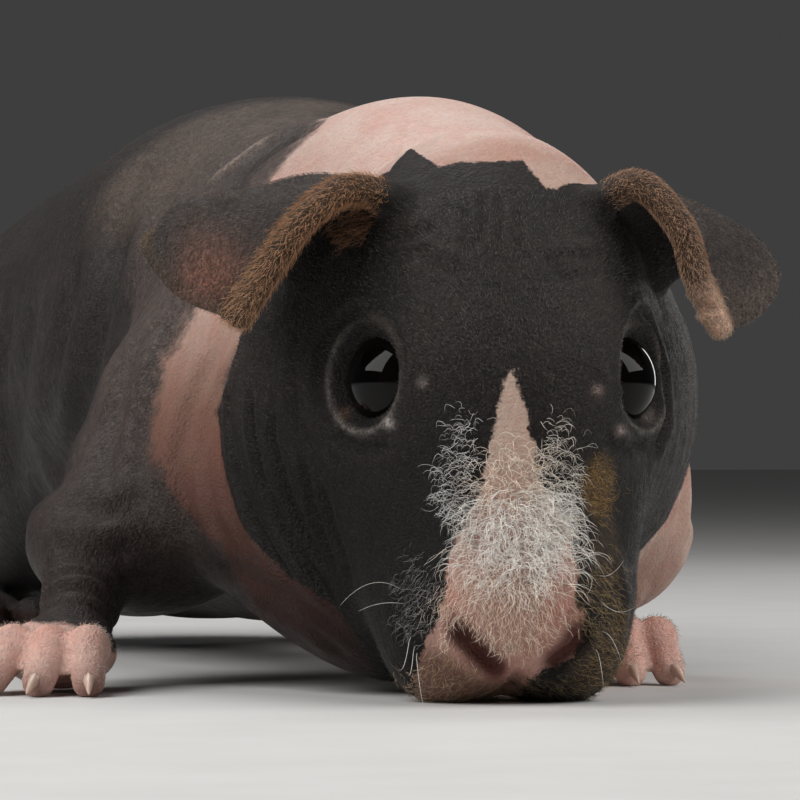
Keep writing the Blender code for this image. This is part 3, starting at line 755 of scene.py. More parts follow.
# Runs of points of the frame, then width and depth in mm; a negative depth is a ridge.
SEEN_FOLDS = [
    (((232, 362), (228, 420), (236, 470), (252, 520), (275, 560), (300, 590)), 1.0, 1.04),
    (((250, 380), (252, 430), (262, 480), (285, 530), (310, 570), (340, 610)), 0.9, 0.95),
    (((272, 400), (272, 440), (290, 500), (315, 550), (338, 590)), 0.8, 0.76),
    (((300, 450), (310, 500), (330, 555), (345, 590)), 0.7, 0.57),
    (((320, 480), (332, 520), (347, 565), (352, 600)), 0.7, 0.42),
    (((122, 205), (112, 270), (97, 330), (84, 390), (66, 450), (44, 505)), 3.0, 1.95),
    (((80, 250), (64, 330), (50, 400), (38, 470)), 2.4, 0.98),
    (((38, 290), (24, 360), (14, 430), (8, 500)), 2.4, 0.75),
    (((10, 300), (4, 380), (3, 450)), 2.0, 0.60),
    (((172, 320), (156, 380), (146, 440), (138, 490)), 1.7, 0.68),
    (((140, 330), (122, 390), (110, 450), (106, 500)), 1.5, 0.52),
    (((200, 200), (222, 176), (262, 146), (312, 122)), 1.8, -0.83),
    (((215, 215), (240, 178), (285, 145), (325, 122)), 1.6, 0.68),
    (((225, 330), (196, 400), (180, 460), (190, 520), (215, 560)), 1.5, 0.68),
    (((245, 340), (214, 400), (200, 455), (212, 520), (245, 575)), 1.2, 0.52),
    (((195, 560), (240, 575), (300, 605), (345, 640)), 1.6, 0.60),
    (((255, 600), (300, 622), (350, 662)), 1.2, 0.45),
    (((60, 500), (100, 512), (150, 500)), 1.8, 0.60),
    (((52, 545), (95, 556), (140, 548)), 1.6, 0.45),
    (((480, 190), (484, 215), (481, 250)), 0.7, 0.42),
    (((497, 190), (500, 220), (498, 262)), 0.7, 0.38),
    (((462, 205), (468, 230), (466, 260)), 0.7, 0.30),
    (((520, 205), (516, 232), (519, 262)), 0.7, 0.27),
    (((540, 262), (580, 256), (625, 262)), 0.8, 0.42),
    (((552, 278), (590, 272), (632, 276)), 0.8, 0.38),
    (((420, 250), (445, 268), (470, 268)), 0.8, 0.34),
    (((380, 235), (410, 236), (435, 224)), 0.9, 0.42),
    (((372, 252), (404, 256), (432, 246)), 0.8, 0.34),
    (((640, 330), (664, 372), (668, 420), (655, 460)), 0.9, 0.57),
    (((300, 330), (290, 380), (296, 420), (312, 450)), 1.0, 0.42),
    (((330, 432), (360, 448), (390, 446)), 0.8, 0.46),
    (((600, 436), (626, 448), (650, 440)), 0.8, 0.46),
    (((400, 570), (396, 610), (404, 650)), 1.0, 0.47),
    (((612, 560), (622, 600), (616, 640)), 1.0, 0.47),
    (((440, 606), (454, 622), (470, 640), (486, 654), (504, 672)), 1.2, 0.70),
    (((584, 630), (568, 648), (544, 672)), 1.2, 0.55),
]
# Small raised places: a point of the frame, radius and height in mm.
BUMPS = [
    ((423, 383), 0.75, 0.55), ((409, 372), 0.8, 0.35), ((597, 392), 0.7, 0.55), ((604, 376), 0.8, 0.35),
    ((392, 388), 0.55, 0.5), ((620, 392), 0.5, 0.4), ((505, 640), 2.0, 0.25),
]


def band(far, at, width):
    """1 where far is at, fading away over a width on either side."""
    return np.exp(-(((far - at) / width) ** 2))


def lid_relief(p, height):
    """Ridges and grooves round each eye."""
    for side in "RL":
        centre, aim = eye_axis(side)
        idx = within(p, centre, LID_ROOM)
        q = p[idx] - centre
        up = q @ aim
        out = q - up[:, None] * aim
        far = np.linalg.norm(out, axis=1) * MM
        lift = unit(np.cross(np.cross(aim, (0, 0, 1)), aim))
        over = (unit(out) @ lift) * np.sign(lift[2])
        upper = 0.55 + 0.45 * over
        h = -0.62 * upper * band(far, 7.7, 0.62)
        h += 0.36 * (0.5 + 0.5 * upper) * band(far, 6.5, 0.55)
        h += 0.22 * upper * band(far, 9.0, 0.8)
        h -= 0.12 * upper * band(far, 10.2, 0.6)
        h -= 0.30 * (1 - upper) * band(far, 8.6, 0.9)
        height[idx] += h * np.clip(up * MM / 1.5 + 1.2, 0, 1) / MM


def knuckle_relief(p, height):
    """Rings of loose skin above the paws."""
    for side in "RL":
        elbow, wrist = np.array(FORELEGS[side]["forearm"]), np.array(FORELEGS[side]["wrist"])
        along = unit((wrist - elbow)[None])[0]
        idx = within(p, wrist, WRIST_ROOM)
        q = p[idx] - wrist
        t = q @ along * MM
        far = np.linalg.norm(q - (q @ along)[:, None] * along, axis=1) * MM
        ripple = 0.42 * np.cos(t * 2 * math.pi / 2.3 + 0.6 * np.sin(far * 3))
        height[idx] += ripple * band(t, -2.5, 3.4) * band(far, 4.2, 2.6) / MM


TRUNK_MIDDLE = -0.0015
HEAD_BACK = -0.03  # behind this, a fold is on the trunk and is repeated on the other side


def mirror_run(run):
    """The same run on the animal's other side, set on the skin."""
    return set_on_skin(run * np.array((-1, 1, 1)) + np.array((2 * TRUNK_MIDDLE, 0, 0)))


p = coordinates(skin.data)
_, slopes = flesh(p, True, 0.0)
normals = unit(slopes)
height = np.zeros(len(p))
for points, width, depth in SEEN_FOLDS:
    run = seen_run(points)
    if len(run) < 3:
        print("fold off the skin", points[0])
        continue
    fold(p, height, run, width / MM, depth / MM)
    if run[:, 1].mean() > HEAD_BACK:
        fold(p, height, mirror_run(run), width / MM, depth / MM)
for (px, py), radius, rise in BUMPS:
    at = seen(px, py)
    if at is not None:
        far = np.linalg.norm(p - np.array(at), axis=1) * MM
        height += rise / MM * band(far, 0, radius)
lid_relief(p, height)
knuckle_relief(p, height)
p = p + height[:, None] * normals
p[:, 2] = np.maximum(p[:, 2], FLOOR_CUT)
put_coordinates(skin.data, p)
tree = BVHTree.FromObject(skin, bpy.context.evaluated_depsgraph_get())
print("skin", len(skin.data.vertices), len(skin.data.polygons))

# Markings.


def smooth(x, low, high):
    t = np.clip((x - low) / (high - low), 0, 1)
    return t * t * (3 - 2 * t)


def table(x, *pairs):
    return np.interp(x, [pair[0] for pair in pairs], [pair[1] for pair in pairs])


def mixed(a, b, share):
    """Colours that go from a to b; either may be one colour for all."""
    a, b = np.asarray(a, float), np.asarray(b, float)
    return a + (b - a) * share[:, None]


def painted(base, layers):
    """Colours with further colours laid over them, each by its share."""
    for colour, share in layers:
        base = mixed(base, colour, share)
    return base


def spot(q, centre, radii):
    """1 at the centre, fading to 0 at the radii."""
    return 1 - smooth(np.linalg.norm((q - np.array(centre)) / np.array(radii), axis=1), 0.55, 1.0)


def wave(q, scale, seed):
    """A soft repeatable unevenness from -1 to 1."""
    turns = np.random.default_rng(seed).normal(size=(5, 3)) * scale
    phases = np.random.default_rng(seed + 99).uniform(0, 6.28, 5)
    return sum(np.sin(q @ turn + phase) for turn, phase in zip(turns, phases)) / 3.2


def in_frame(p):
    """Where points appear in the frame."""
    q = p - np.array(CAMERA_AT)
    deep = q @ np.array(CAMERA_LOOK)
    return PICTURE / 2 + FOCAL * (q @ np.array(CAMERA_RIGHT)) / deep, HORIZON - FOCAL * q[:, 2] / deep


def beside(u, v, line):
    """Signed distance to a line drawn in the frame, in mm: positive on the right of a line that runs down."""
    best, sign = np.full(len(u), 1e9), np.ones(len(u))
    for (ax, ay), (bx, by) in zip(line, line[1:]):
        dx, dy = bx - ax, by - ay
        t = np.clip(((u - ax) * dx + (v - ay) * dy) / (dx * dx + dy * dy), 0, 1)
        far = np.hypot(u - ax - t * dx, v - ay - t * dy)
        closer = far < best
        best[closer] = far[closer]
        sign[closer] = np.sign(dy * (u - ax) - dx * (v - ay))[closer]
    return best * sign * PIXEL


# Edges of the markings, as they run in the frame from top to bottom.
HEAD_EDGE = (
    (760, 330), (640, 230), (575, 190), (548, 188), (522, 161), (490, 163), (440, 167), (424, 156),
    (409, 147), (397, 160), (380, 185), (335, 222), (285, 262), (250, 300), (240, 335), (233, 360),
    (217, 411), (222, 462), (237, 513), (255, 544), (301, 584), (339, 612), (357, 640), (377, 676),
    (400, 730),
)
COLLAR_EDGE = (
    (360, 60), (321, 124), (296, 149), (262, 190), (236, 232), (212, 280), (193, 316), (180, 345),
    (167, 360), (165, 376), (153, 431), (153, 457), (178, 503), (219, 544), (246, 590), (262, 650),
)
BLAZE_LEFT = (
    (508, 360), (506, 371), (504, 383), (501, 398), (497, 418), (492, 437), (486, 460), (481, 483),
    (472, 506), (460, 528), (452, 552), (446, 575), (444, 598), (438, 621), (427, 645), (418, 668),
    (415, 700), (424, 740),
)
BLAZE_RIGHT = (
    (513, 360), (515, 371), (518, 383), (522, 398), (527, 418), (531, 437), (535, 460), (542, 483),
    (555, 506), (566, 528), (574, 552), (578, 575), (579, 598), (581, 621), (580, 642), (570, 657),
    (548, 668), (524, 684), (512, 708), (506, 760),
)
BLAZE_TOP = 368
NOSTRIL_RIGHT = ((458, 630), (470, 642), (484, 656), (496, 668))
NOSTRIL_LEFT = ((577, 632), (569, 646), (554, 660))
MARK_MIDDLE = -0.003
TEMPLE = 15.5
PAW_RIGHT, PAW_LEFT = (-53, -18, 4), (15, -22, 4)

# x, y, z and local are in mm, in the design frame and in the head's. u and v are pixels of the frame.
mm = p * MM
x, y, z = mm.T
local = (p - np.array(HEAD_AT)) @ HEAD_AXES * MM
lx, ly, _ = local.T
mirror = p.copy()
mirror[:, 0] = np.where(x > MARK_MIDDLE * MM, 2 * MARK_MIDDLE - p[:, 0], p[:, 0])
u, v = in_frame(p)
mu, mv = in_frame(mirror)
uneven = wave(mm, 0.35, 1)
# How far back the head's dark field goes on its left side, by height.
left_edge = table(
    z, (0, -52), (3, -50), (13, -40), (20, -30), (30, -23), (42, -24), (50, -34), (56, -46),
    (62, -57), (70, -64),
)
on_left = smooth(lx, 5, 10)
# On skin that turns away from the frame, a distance in the frame is a longer way along the skin.
turned_away = np.clip(np.abs((normals * unit(np.array(CAMERA_AT) - p)).sum(1)), 0.22, 1)
dark_head = beside(u, v, HEAD_EDGE) / turned_away
dark_head = np.where(y > 8, -8, dark_head) * (1 - on_left) + (left_edge - y) * on_left
dark_head = np.where(lx < 6, np.minimum(dark_head, 30.5 - 5 * smooth(-lx, 9.8, 13) - ly), dark_head)
# The head's dark field goes on behind the right ear, which hides it in the frame.
behind_ear = np.maximum(spot(local, (-19, 16, 7), (13, 13, 17)), spot(local, (-14.5, 16, 10), (8, 9, 8)))
dark_head = np.maximum(dark_head, 7 * (behind_ear - 0.3))
dark_head = dark_head + 0.45 * uneven + 0.3 * wave(mm, 0.9, 7)
blaze = np.minimum(beside(u, v, BLAZE_LEFT), -beside(u, v, BLAZE_RIGHT))
blaze = np.where(ly < -6, np.minimum(blaze, (v - BLAZE_TOP) * PIXEL), -9)
dark_head = np.minimum(dark_head, -blaze + 0.35 * wave(mm, 1.3, 8))
dark_body = -beside(mu, mv, COLLAR_EDGE)
# On the left the collar is wider: the foreleg and the shoulder's lower half are pink.
front = 1 - smooth(y + 0.45 * (z - 30) + 6 * wave(mm, 0.06, 12), -6, 20)
dark_body = np.where(y > 25, 8, dark_body) - 0.62 * np.maximum(x - 2, 0) * smooth(-z, -60, -30) * front
dark_body = dark_body + 0.5 * wave(mm, 0.3, 2) + 1.5 * wave(mm, 0.11, 13) * smooth(x, 0, 10)
# Pink gloves: the right forepaw up to its wrist, and the hindpaws.
paw_right = spot(mm, PAW_RIGHT, (15, 17, 12))
wrist_top = 7.0 - 1.4 * smooth(x, -52, -46)
from_wrist = np.hypot(*(p[:, :2] - np.array(FORELEGS["R"]["wrist"])[:2]).T) * MM
sleeve = np.minimum(z - wrist_top, 8.2 - from_wrist) + wave(mm, 0.5, 3)
dark_body = np.where(paw_right > 0, np.minimum(dark_body, sleeve), dark_body)
hind = smooth(y, 80, 88) * smooth(-z, -9.5, -7.5)
hind_top = 7.0 + 5 * smooth(x, 0, 8) + wave(mm, 0.5, 4)
dark_body = np.where(hind > 0, np.minimum(dark_body, z - hind_top), dark_body)
belly = smooth(-z, -9, -3) * smooth(-np.abs(x), -26, -20) * smooth(y, -10, 10)
dark_body = dark_body - 30 * belly
# mark is positive where the skin is dark, and soft is half the width of the edge.
mark = np.maximum(dark_head, dark_body)
soft = 0.30 + 1.2 * smooth(dark_body - np.maximum(dark_head, -6), 0, 5)

nostrils = np.minimum(np.abs(beside(u, v, NOSTRIL_RIGHT)), np.abs(beside(u, v, NOSTRIL_LEFT)) + 0.2)
CHARCOAL, SLATE = (0.0110, 0.0082, 0.0073), (0.020, 0.0165, 0.0155)
TAUPE, BROWN = (0.056, 0.042, 0.0375), (0.064, 0.048, 0.039)
dark = painted(np.tile(CHARCOAL, (len(p), 1)), (
    ((0.0150, 0.0120, 0.0108), spot(local, (0, 2, 16), (16, 14, 9))),
    # painted shade: the head's skin darkens downwards, from 40 mm high to 20 mm
    ((0.0040, 0.0030, 0.0027), smooth(-z, -40, -20) * 0.9),
    # painted shade: dark spots on the temples, under the ears
    ((0.0035, 0.0026, 0.0024), spot(local, (-TEMPLE, 6, 7), (9, 12, 7.5)) * 0.75),
    ((0.0035, 0.0026, 0.0024), spot(local, (TEMPLE, 6, 7), (9, 12, 7.5)) * 0.75),
))
# Where the body's taupe field ends towards the back, by height.
taupe_back = table(
    z, (10, -8), (24, 0), (32, 5.5), (36, 7), (39.5, 9), (44, 17), (49, 26), (60, 31), (80, 31),
)
past = (y - taupe_back + 1.5 * wave(mm, 0.2, 5)) / (1 + 3 * smooth(x, -4, 8))
wavy = mm + 6 * np.stack([wave(mm, 0.09, 31), wave(mm, 0.09, 32), 0 * x], axis=1)
body = painted(np.tile(SLATE, (len(p), 1)), (
    (TAUPE, 1 - smooth(past, -2.5, 3)),
    # painted shade: the body darkens low down at the front and on the forelegs
    ((0.020, 0.0145, 0.013), (1 - smooth(z, 14, 46)) * smooth(-y, -30, -15) * 0.85),
    (BROWN, spot(wavy, (-17, 42, 68), (23, 19, 19))),
    ((0.038, 0.032, 0.029), spot(mm, (-17, 10, 66), (16, 8.5, 13)) * 0.9),
    # painted highlight: a pale narrow line along the ridge of skin on the back
    ((0.20, 0.155, 0.130), spot(mm, (-15, 20, 69), (15, 3.0, 9)) * 0.7),
))
dark = painted(np.where((dark_body > dark_head)[:, None], body, dark), (
    ((0.050, 0.031, 0.018), spot(local, (9.5, -30, -10.5), (7, 8, 7)) * 0.8),
    ((0.085, 0.048, 0.016), spot(local, (9.3, -16.6, 3.2), (4.4, 4.6, 5)) * 0.75),
    ((0.040, 0.027, 0.015), spot(local, (10.5, -23, -2), (4, 7, 6)) * 0.6),
))

# The pale skin's colour by height, pink at the top and darkening downwards to nearly black at the bottom with
# painted shade; then the places where it differs, which on the left side and at the front give an even pink
# without that painted shade.
COLLAR = (
    (6, (0.018, 0.0075, 0.0052)), (16, (0.042, 0.018, 0.0135)), (25, (0.105, 0.050, 0.037)),
    (34, (0.185, 0.098, 0.073)), (43, (0.36, 0.235, 0.19)), (52, (0.50, 0.355, 0.305)),
    (62, (0.59, 0.44, 0.39)),
)
pale = np.stack([table(z, *((level, colour[n]) for level, colour in COLLAR)) for n in range(3)], axis=1)
paws = np.maximum(spot(mm, PAW_RIGHT, (16, 18, 12)), spot(mm, PAW_LEFT, (14, 18, 12)))
pale = painted(pale, (
    ((0.44, 0.30, 0.25), smooth(-x, 10, 22) * smooth(z, 56, 62) * 0.7),
    ((0.44, 0.305, 0.25), np.maximum(smooth(x, 4, 12), 1 - smooth(y, -52, -46))),
    ((0.72, 0.47, 0.40), paws),
    ((0.54, 0.405, 0.335), (blaze > -2) * smooth(ly, -24, -14)),
    ((0.46, 0.275, 0.225), (blaze > -2) * (1 - smooth(ly, -30, -20))),
    ((0.17, 0.095, 0.070), spot(local, (-7.5, -31.5, -13), (9, 8, 8)) * 0.9),
    # the nostrils: dark red skin, deepened nearly to black with painted shade of their hollows
    ((0.075, 0.022, 0.017), (1 - smooth(nostrils, 0.7, 2.4)) * (ly < -25) * 0.97),
))

ear_share = np.zeros(len(p))
for side, sheet in EARS.items():
    idx = sheet.near(p)
    foot, half, where, normal = sheet.nearest(p[idx])
    off = p[idx] - foot
    across, along = where.T
    on = (1 - smooth(np.linalg.norm(off, axis=1) - half, 0.0003, 0.0010)) * smooth(along, 0.02, 0.12)
    outer = smooth((off * normal).sum(1) * sheet.outer, -0.0002, 0.0002)
    rim = 1 - smooth(across, 0.10, 0.19)
    flap = np.tile((0.030, 0.0245, 0.0225), (len(idx), 1))
    if side == "R":
        warm = np.exp(-(((across - 0.27) / 0.22) ** 2) - ((along - 0.87) / 0.14) ** 2)
        flap = painted(flap, (
            ((0.150, 0.066, 0.045), warm * 0.95),
            ((0.085, 0.055, 0.028), smooth(across, 0.76, 0.96) * smooth(along, 0.45, 0.9) * 0.8),
            ((0.060, 0.038, 0.026), smooth(along, 0.90, 1.0) * 0.7),
        ))
    else:
        flap = mixed(flap, (0.075, 0.055, 0.045), smooth(along, 0.7, 1.0) * 0.7)
    # the inner face: near black at the root with painted shade of the ear's hollow, lighter and redder
    # towards the tip
    inside = mixed((0.014, 0.011, 0.010), (0.10, 0.055, 0.042), smooth(along, 0.5, 0.95) * 0.7)
    flap = mixed(inside, flap, outer)
    flap = mixed(flap, (0.050, 0.031, 0.019), rim * smooth(along, 0.05, 0.2))
    if side == "L":
        flap = mixed(flap, (0.42, 0.27, 0.20), rim * smooth(along, 0.70, 0.95))
    dark[idx] = mixed(dark[idx], np.zeros(3), on) + flap * on[:, None]
    mark[idx] += np.maximum(6 - mark[idx], 0) * on
    ear_share[idx] = np.maximum(ear_share[idx], on)

# The lids: a pale inner edge, black at the eye, a crease above made black with painted shade, and a painted
# highlight on the wet outer corner.
for side in "RL":
    inward = 1 if side == "R" else -1
    centre, aim = eye_axis(side)
    q = p - centre
    up = q @ aim
    far = np.linalg.norm(q - up[:, None] * aim, axis=1) * MM
    near = (np.abs(up) < 0.009) & (far < 12)
    high = unit(q) @ np.array((0.35 * inward, 0, 0.94))
    inner = unit(q) @ np.array((0.80 * inward, -0.1, 0.60))
    dark = painted(dark, (
        ((0.115, 0.090, 0.072), near * band(far, 6.9, 0.75) * smooth(inner, 0.0, 0.6) * 0.8),
        ((0.004, 0.003, 0.003), near * band(far, 5.4, 0.5) * 0.9),
        # painted shade in the crease above the eye
        ((0.003, 0.002, 0.002), near * band(far, 8.5, 0.32) * smooth(high, -0.3, 0.3) * 0.9),
        # painted highlight on the wet outer corner
        ((0.13, 0.115, 0.105), near * band(far, 6.5, 0.35) * (1 - smooth(inner, -0.5, 0.1)) * 0.65),
    ))
# Small pale places, with their radius in pixels: whisker pads beside the eyes, and painted highlights on the
# wet inner corners.
for cx, cy, radius, colour in (
    (423, 383, 5, (0.15, 0.125, 0.115)), (597, 391, 6, (0.13, 0.095, 0.085)),
    # the first place on this line and on the next: painted highlights on the wet inner corners
    (389, 423, 5, (0.30, 0.27, 0.26)), (344, 413, 6, (0.075, 0.042, 0.025)),
    (621, 431, 5, (0.22, 0.17, 0.155)), (648, 416, 7, (0.13, 0.105, 0.095)),
):
    here = np.exp(-((u - cx) ** 2 + (v - cy) ** 2) / radius**2) * (ly < -2)
    dark = mixed(dark, colour, here * 0.85)


def attribute(mesh, name, values):
    values = np.asarray(values, np.float32)
    if values.ndim == 1:
        mesh.attributes.new(name, "FLOAT", "POINT").data.foreach_set("value", values)
    else:
        rgba = np.ones((len(values), 4), np.float32)
        rgba[:, :3] = values
        mesh.attributes.new(name, "FLOAT_COLOR", "POINT").data.foreach_set("color", rgba.ravel())


for name, values in (("dark", dark), ("pale", pale), ("mark", mark), ("soft", soft)):
    attribute(skin.data, name, values)

# Materials.


class Nodes:
    """A material's node tree, with short calls to add to it."""

    def __init__(self, name):
        self.material = bpy.data.materials.new(name)
        self.material.use_nodes = True
        self.tree = self.material.node_tree
        self.shader = self.tree.nodes["Principled BSDF"]

    def feed(self, socket, value):
        if isinstance(value, bpy.types.NodeSocket):
            self.tree.links.new(value, socket)
        else:
            socket.default_value = value

    def give(self, inputs, node=None):
        """Feeds inputs by name, to the shader unless a node is given."""
        for name, value in inputs.items():
            self.feed((node or self.shader).inputs[name], value)

    def add(self, kind, inputs=(), **settings):
        node = self.tree.nodes.new("ShaderNode" + kind)
        for name, value in settings.items():
            setattr(node, name, value)
        self.give(dict(inputs), node)
        return node

    def attribute(self, name, output="Fac"):
        return self.add("Attribute", attribute_name=name).outputs[output]

    def place(self):
        """The object's own coordinates, through one node for the whole material."""
        if not hasattr(self, "_object"):
            self._object = self.add("TexCoord").outputs["Object"]
        return self._object

    def noise(self, scale, detail=3.0, rough=0.5, vector=None, distortion=0.0):
        inputs = {"Vector": vector or self.place(), "Scale": scale, "Detail": detail}
        return self.add("TexNoise", {**inputs, "Roughness": rough, "Distortion": distortion}).outputs["Fac"]

    def cells(self, scale):
        inputs = {"Vector": self.place(), "Scale": scale}
        return self.add("TexVoronoi", inputs, feature="DISTANCE_TO_EDGE").outputs["Distance"]

    def stretched(self, scale):
        return self.add("Mapping", {"Vector": self.place(), "Scale": scale}).outputs["Vector"]

    def math(self, operation, a, b=0.0, c=0.0):
        node = self.add("Math", operation=operation)
        for socket, value in zip(node.inputs, (a, b, c)):
            self.feed(socket, value)
        return node.outputs[0]

    def range(self, value, low, high, out_low=0.0, out_high=1.0, kind="SMOOTHSTEP"):
        inputs = {"Value": value, "From Min": low, "From Max": high, "To Min": out_low, "To Max": out_high}
        return self.add("MapRange", inputs, interpolation_type=kind).outputs["Result"]

    def uneven(self, noise, low, high, out_low, out_high):
        """A noise from low to high, spread evenly over another range."""
        return self.range(noise, low, high, out_low, out_high, "LINEAR")

    def mix(self, share, a, b, kind="MIX"):
        node = self.add("Mix", data_type="RGBA", blend_type=kind)
        self.feed(node.inputs["Factor"], share)
        colours = [socket for socket in node.inputs if socket.type == "RGBA"]
        for socket, colour in zip(colours, (a, b)):
            self.feed(socket, colour if isinstance(colour, bpy.types.NodeSocket) else (*colour, 1))
        return [socket for socket in node.outputs if socket.type == "RGBA"][0]

    def scaled(self, colour, factor):
        node = self.add("VectorMath", operation="SCALE")
        self.feed(node.inputs[0], colour)
        self.feed(node.inputs["Scale"], factor)
        return node.outputs[0]

    def bump(self, height, distance, strength, below=None):
        inputs = {"Height": height, "Distance": distance, "Strength": strength}
        if below is not None:
            inputs["Normal"] = below
        return self.add("Bump", inputs).outputs["Normal"]


def skin_material():
    """Pink and dark skin with a ragged edge between them, mottled and finely wrinkled."""
    m = Nodes("skin")
    ragged = m.math("MULTIPLY_ADD", m.noise(520, 4, 0.6), 2.2, -1.1)
    fine = m.math("MULTIPLY_ADD", m.noise(2200, 3, 0.6), 1.2, -0.6)
    at = m.math("ADD", m.attribute("mark"), m.math("ADD", ragged, fine))
    soft = m.attribute("soft")
    pigment = m.range(at, m.math("MULTIPLY", soft, -1.0), soft)
    broad = m.uneven(m.noise(90, 5, 0.6), 0.3, 0.7, 0.78, 1.25)
    grain = m.math("POWER", m.uneven(m.noise(3000, 3, 0.75), 0.25, 0.78, 0.42, 1.75), 1.7)
    freckle = m.uneven(m.noise(900, 3, 0.7, distortion=0.6), 0.35, 0.7, 0.75, 1.35)
    mottled = m.math("MULTIPLY", m.math("MULTIPLY", broad, grain), freckle)
    dark = m.scaled(m.attribute("dark", "Color"), mottled)
    flush = m.range(m.noise(160, 4, 0.6), 0.35, 0.72)
    pale = m.mix(flush, m.attribute("pale", "Color"), (0.95, 0.80, 0.78), "MULTIPLY")
    pale = m.scaled(pale, m.uneven(m.noise(1500, 3, 0.7), 0.3, 0.75, 0.88, 1.10))
    wrinkles = m.noise(330, 4, 0.62, m.stretched((1.0, 1.7, 0.55)), 0.8)
    normal = m.bump(wrinkles, 0.0006, 0.7)
    normal = m.bump(m.range(m.cells(1500), 0.0, 0.25), 0.00008, 0.6, normal)
    m.give({
        "Base Color": m.mix(pigment, pale, dark),
        "Roughness": m.uneven(m.noise(700, 3, 0.6), 0.3, 0.7, 0.40, 0.60),
        "Specular IOR Level": 0.17,
        "Subsurface Weight": 0.18,
        "Subsurface Radius": (1.0, 0.35, 0.2),
        "Subsurface Scale": 0.0016,
        "Sheen Weight": 0.03,
        "Sheen Roughness": 0.35,
        "Normal": m.bump(m.noise(3200, 3, 0.7), 0.00020, 0.9, normal),
    })
    return m.material


def eye_material():
    """Black and wet; the iris is hardly lighter than the pupil."""
    m = Nodes("eye")
    angle = m.attribute("from_axis")
    iris = m.mix(m.noise(1400, 3, 0.7), (0.0030, 0.0020, 0.0014), (0.0012, 0.0010, 0.0010))
    colour = m.mix(m.range(angle, 0.42, 0.50), (0.0008, 0.0008, 0.0010), iris)
    m.give({
        "Base Color": m.mix(m.range(angle, 1.10, 1.25), colour, (0.012, 0.006, 0.005)),
        "Roughness": m.uneven(m.noise(300, 2), 0.3, 0.7, 0.015, 0.035),
        "IOR": 1.25,
    })
    return m.material


def hair_material():
    m = Nodes("hair")
    uneven = m.uneven(m.noise(900, 2), 0.3, 0.7, 0.8, 1.15)
    m.give({
        "Base Color": m.scaled(m.attribute("tint", "Color"), uneven),
        "Roughness": 0.45,
        "Specular IOR Level": 0.4,
    })
    return m.material


def claw_material():
    m = Nodes("claw")
    streaks = m.noise(500, 3, 0.6, m.stretched((3.0, 0.6, 3.0)))
    m.give({
        "Base Color": m.mix(streaks, (0.42, 0.28, 0.22), (0.60, 0.46, 0.38)),
        "Roughness": 0.32,
        "Subsurface Weight": 0.3,
        "Subsurface Radius": (1.0, 0.5, 0.35),
        "Subsurface Scale": 0.001,
        "Normal": m.bump(streaks, 0.0001, 0.4),
    })
    return m.material


def floor_material():
    m = Nodes("floor")
    base = m.add("RGB")
    base.outputs[0].default_value = (0.56, 0.555, 0.55, 1)
    speck = m.uneven(m.noise(60, 4), 0.3, 0.7, 0.97, 1.03)
    m.give({"Base Color": m.scaled(base.outputs[0], speck), "Roughness": 0.6})
    return m.material


# Pieces.


def finish_piece(obj, material, replaces=()):
    """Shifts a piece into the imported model's frame and makes it part of the model."""
    mesh = obj.data
    put_coordinates(mesh, coordinates(mesh) + np.array(SHIFT))
    mesh.polygons.foreach_set("use_smooth", [True] * len(mesh.polygons))
    mesh.materials.clear()
    mesh.materials.append(material)
    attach(obj, "root")
    if replaces:
        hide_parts(*replaces)
    return obj


def mesh_of(name, points, tris):
    """A mesh object of triangles from arrays."""
    mesh = bpy.data.meshes.new(name)
    tris = np.asarray(tris, np.int32)
    mesh.vertices.add(len(points))
    mesh.vertices.foreach_set("co", np.asarray(points, np.float32).ravel())
    mesh.loops.add(tris.size)
    mesh.loops.foreach_set("vertex_index", tris.ravel())
    mesh.polygons.add(len(tris))
    mesh.polygons.foreach_set("loop_start", np.arange(0, tris.size, 3, dtype=np.int32))
    mesh.polygons.foreach_set("loop_total", np.full(len(tris), 3, np.int32))
    mesh.update(calc_edges=True)
    return link(name, mesh)


skin_nodes = [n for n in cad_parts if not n.startswith("eye")]
finish_piece(skin, skin_material(), skin_nodes)

eye_look = eye_material()
for side, word in (("R", "right"), ("L", "left")):
    bm = bmesh.new()
    aim = eye_aim(side)
    place = Matrix.Translation(eye_centre(side)) @ aim.to_track_quat("Z", "Y").to_matrix().to_4x4()
    bmesh.ops.create_uvsphere(bm, u_segments=72, v_segments=48, radius=EYE_R, matrix=place)
    mesh = bpy.data.meshes.new("eyeball_" + word)
    bm.to_mesh(mesh)
    bm.free()
    ball = link("eyeball_" + word, mesh)
    direction = unit(coordinates(mesh) - np.array(eye_centre(side)))
    attribute(mesh, "from_axis", np.arccos(np.clip(direction @ np.array(aim), -1, 1)))
    finish_piece(ball, eye_look, ["eye_" + word])


def tube_faces(rows, sides, first=0):
    """Triangles between the rings of a tube."""
    faces = []
    for n in range(rows - 1):
        for k in range(sides):
            a, b = first + n * sides + k, first + n * sides + (k + 1) % sides
            faces += [(a, b, b + sides), (a, b + sides, a + sides)]
    return faces


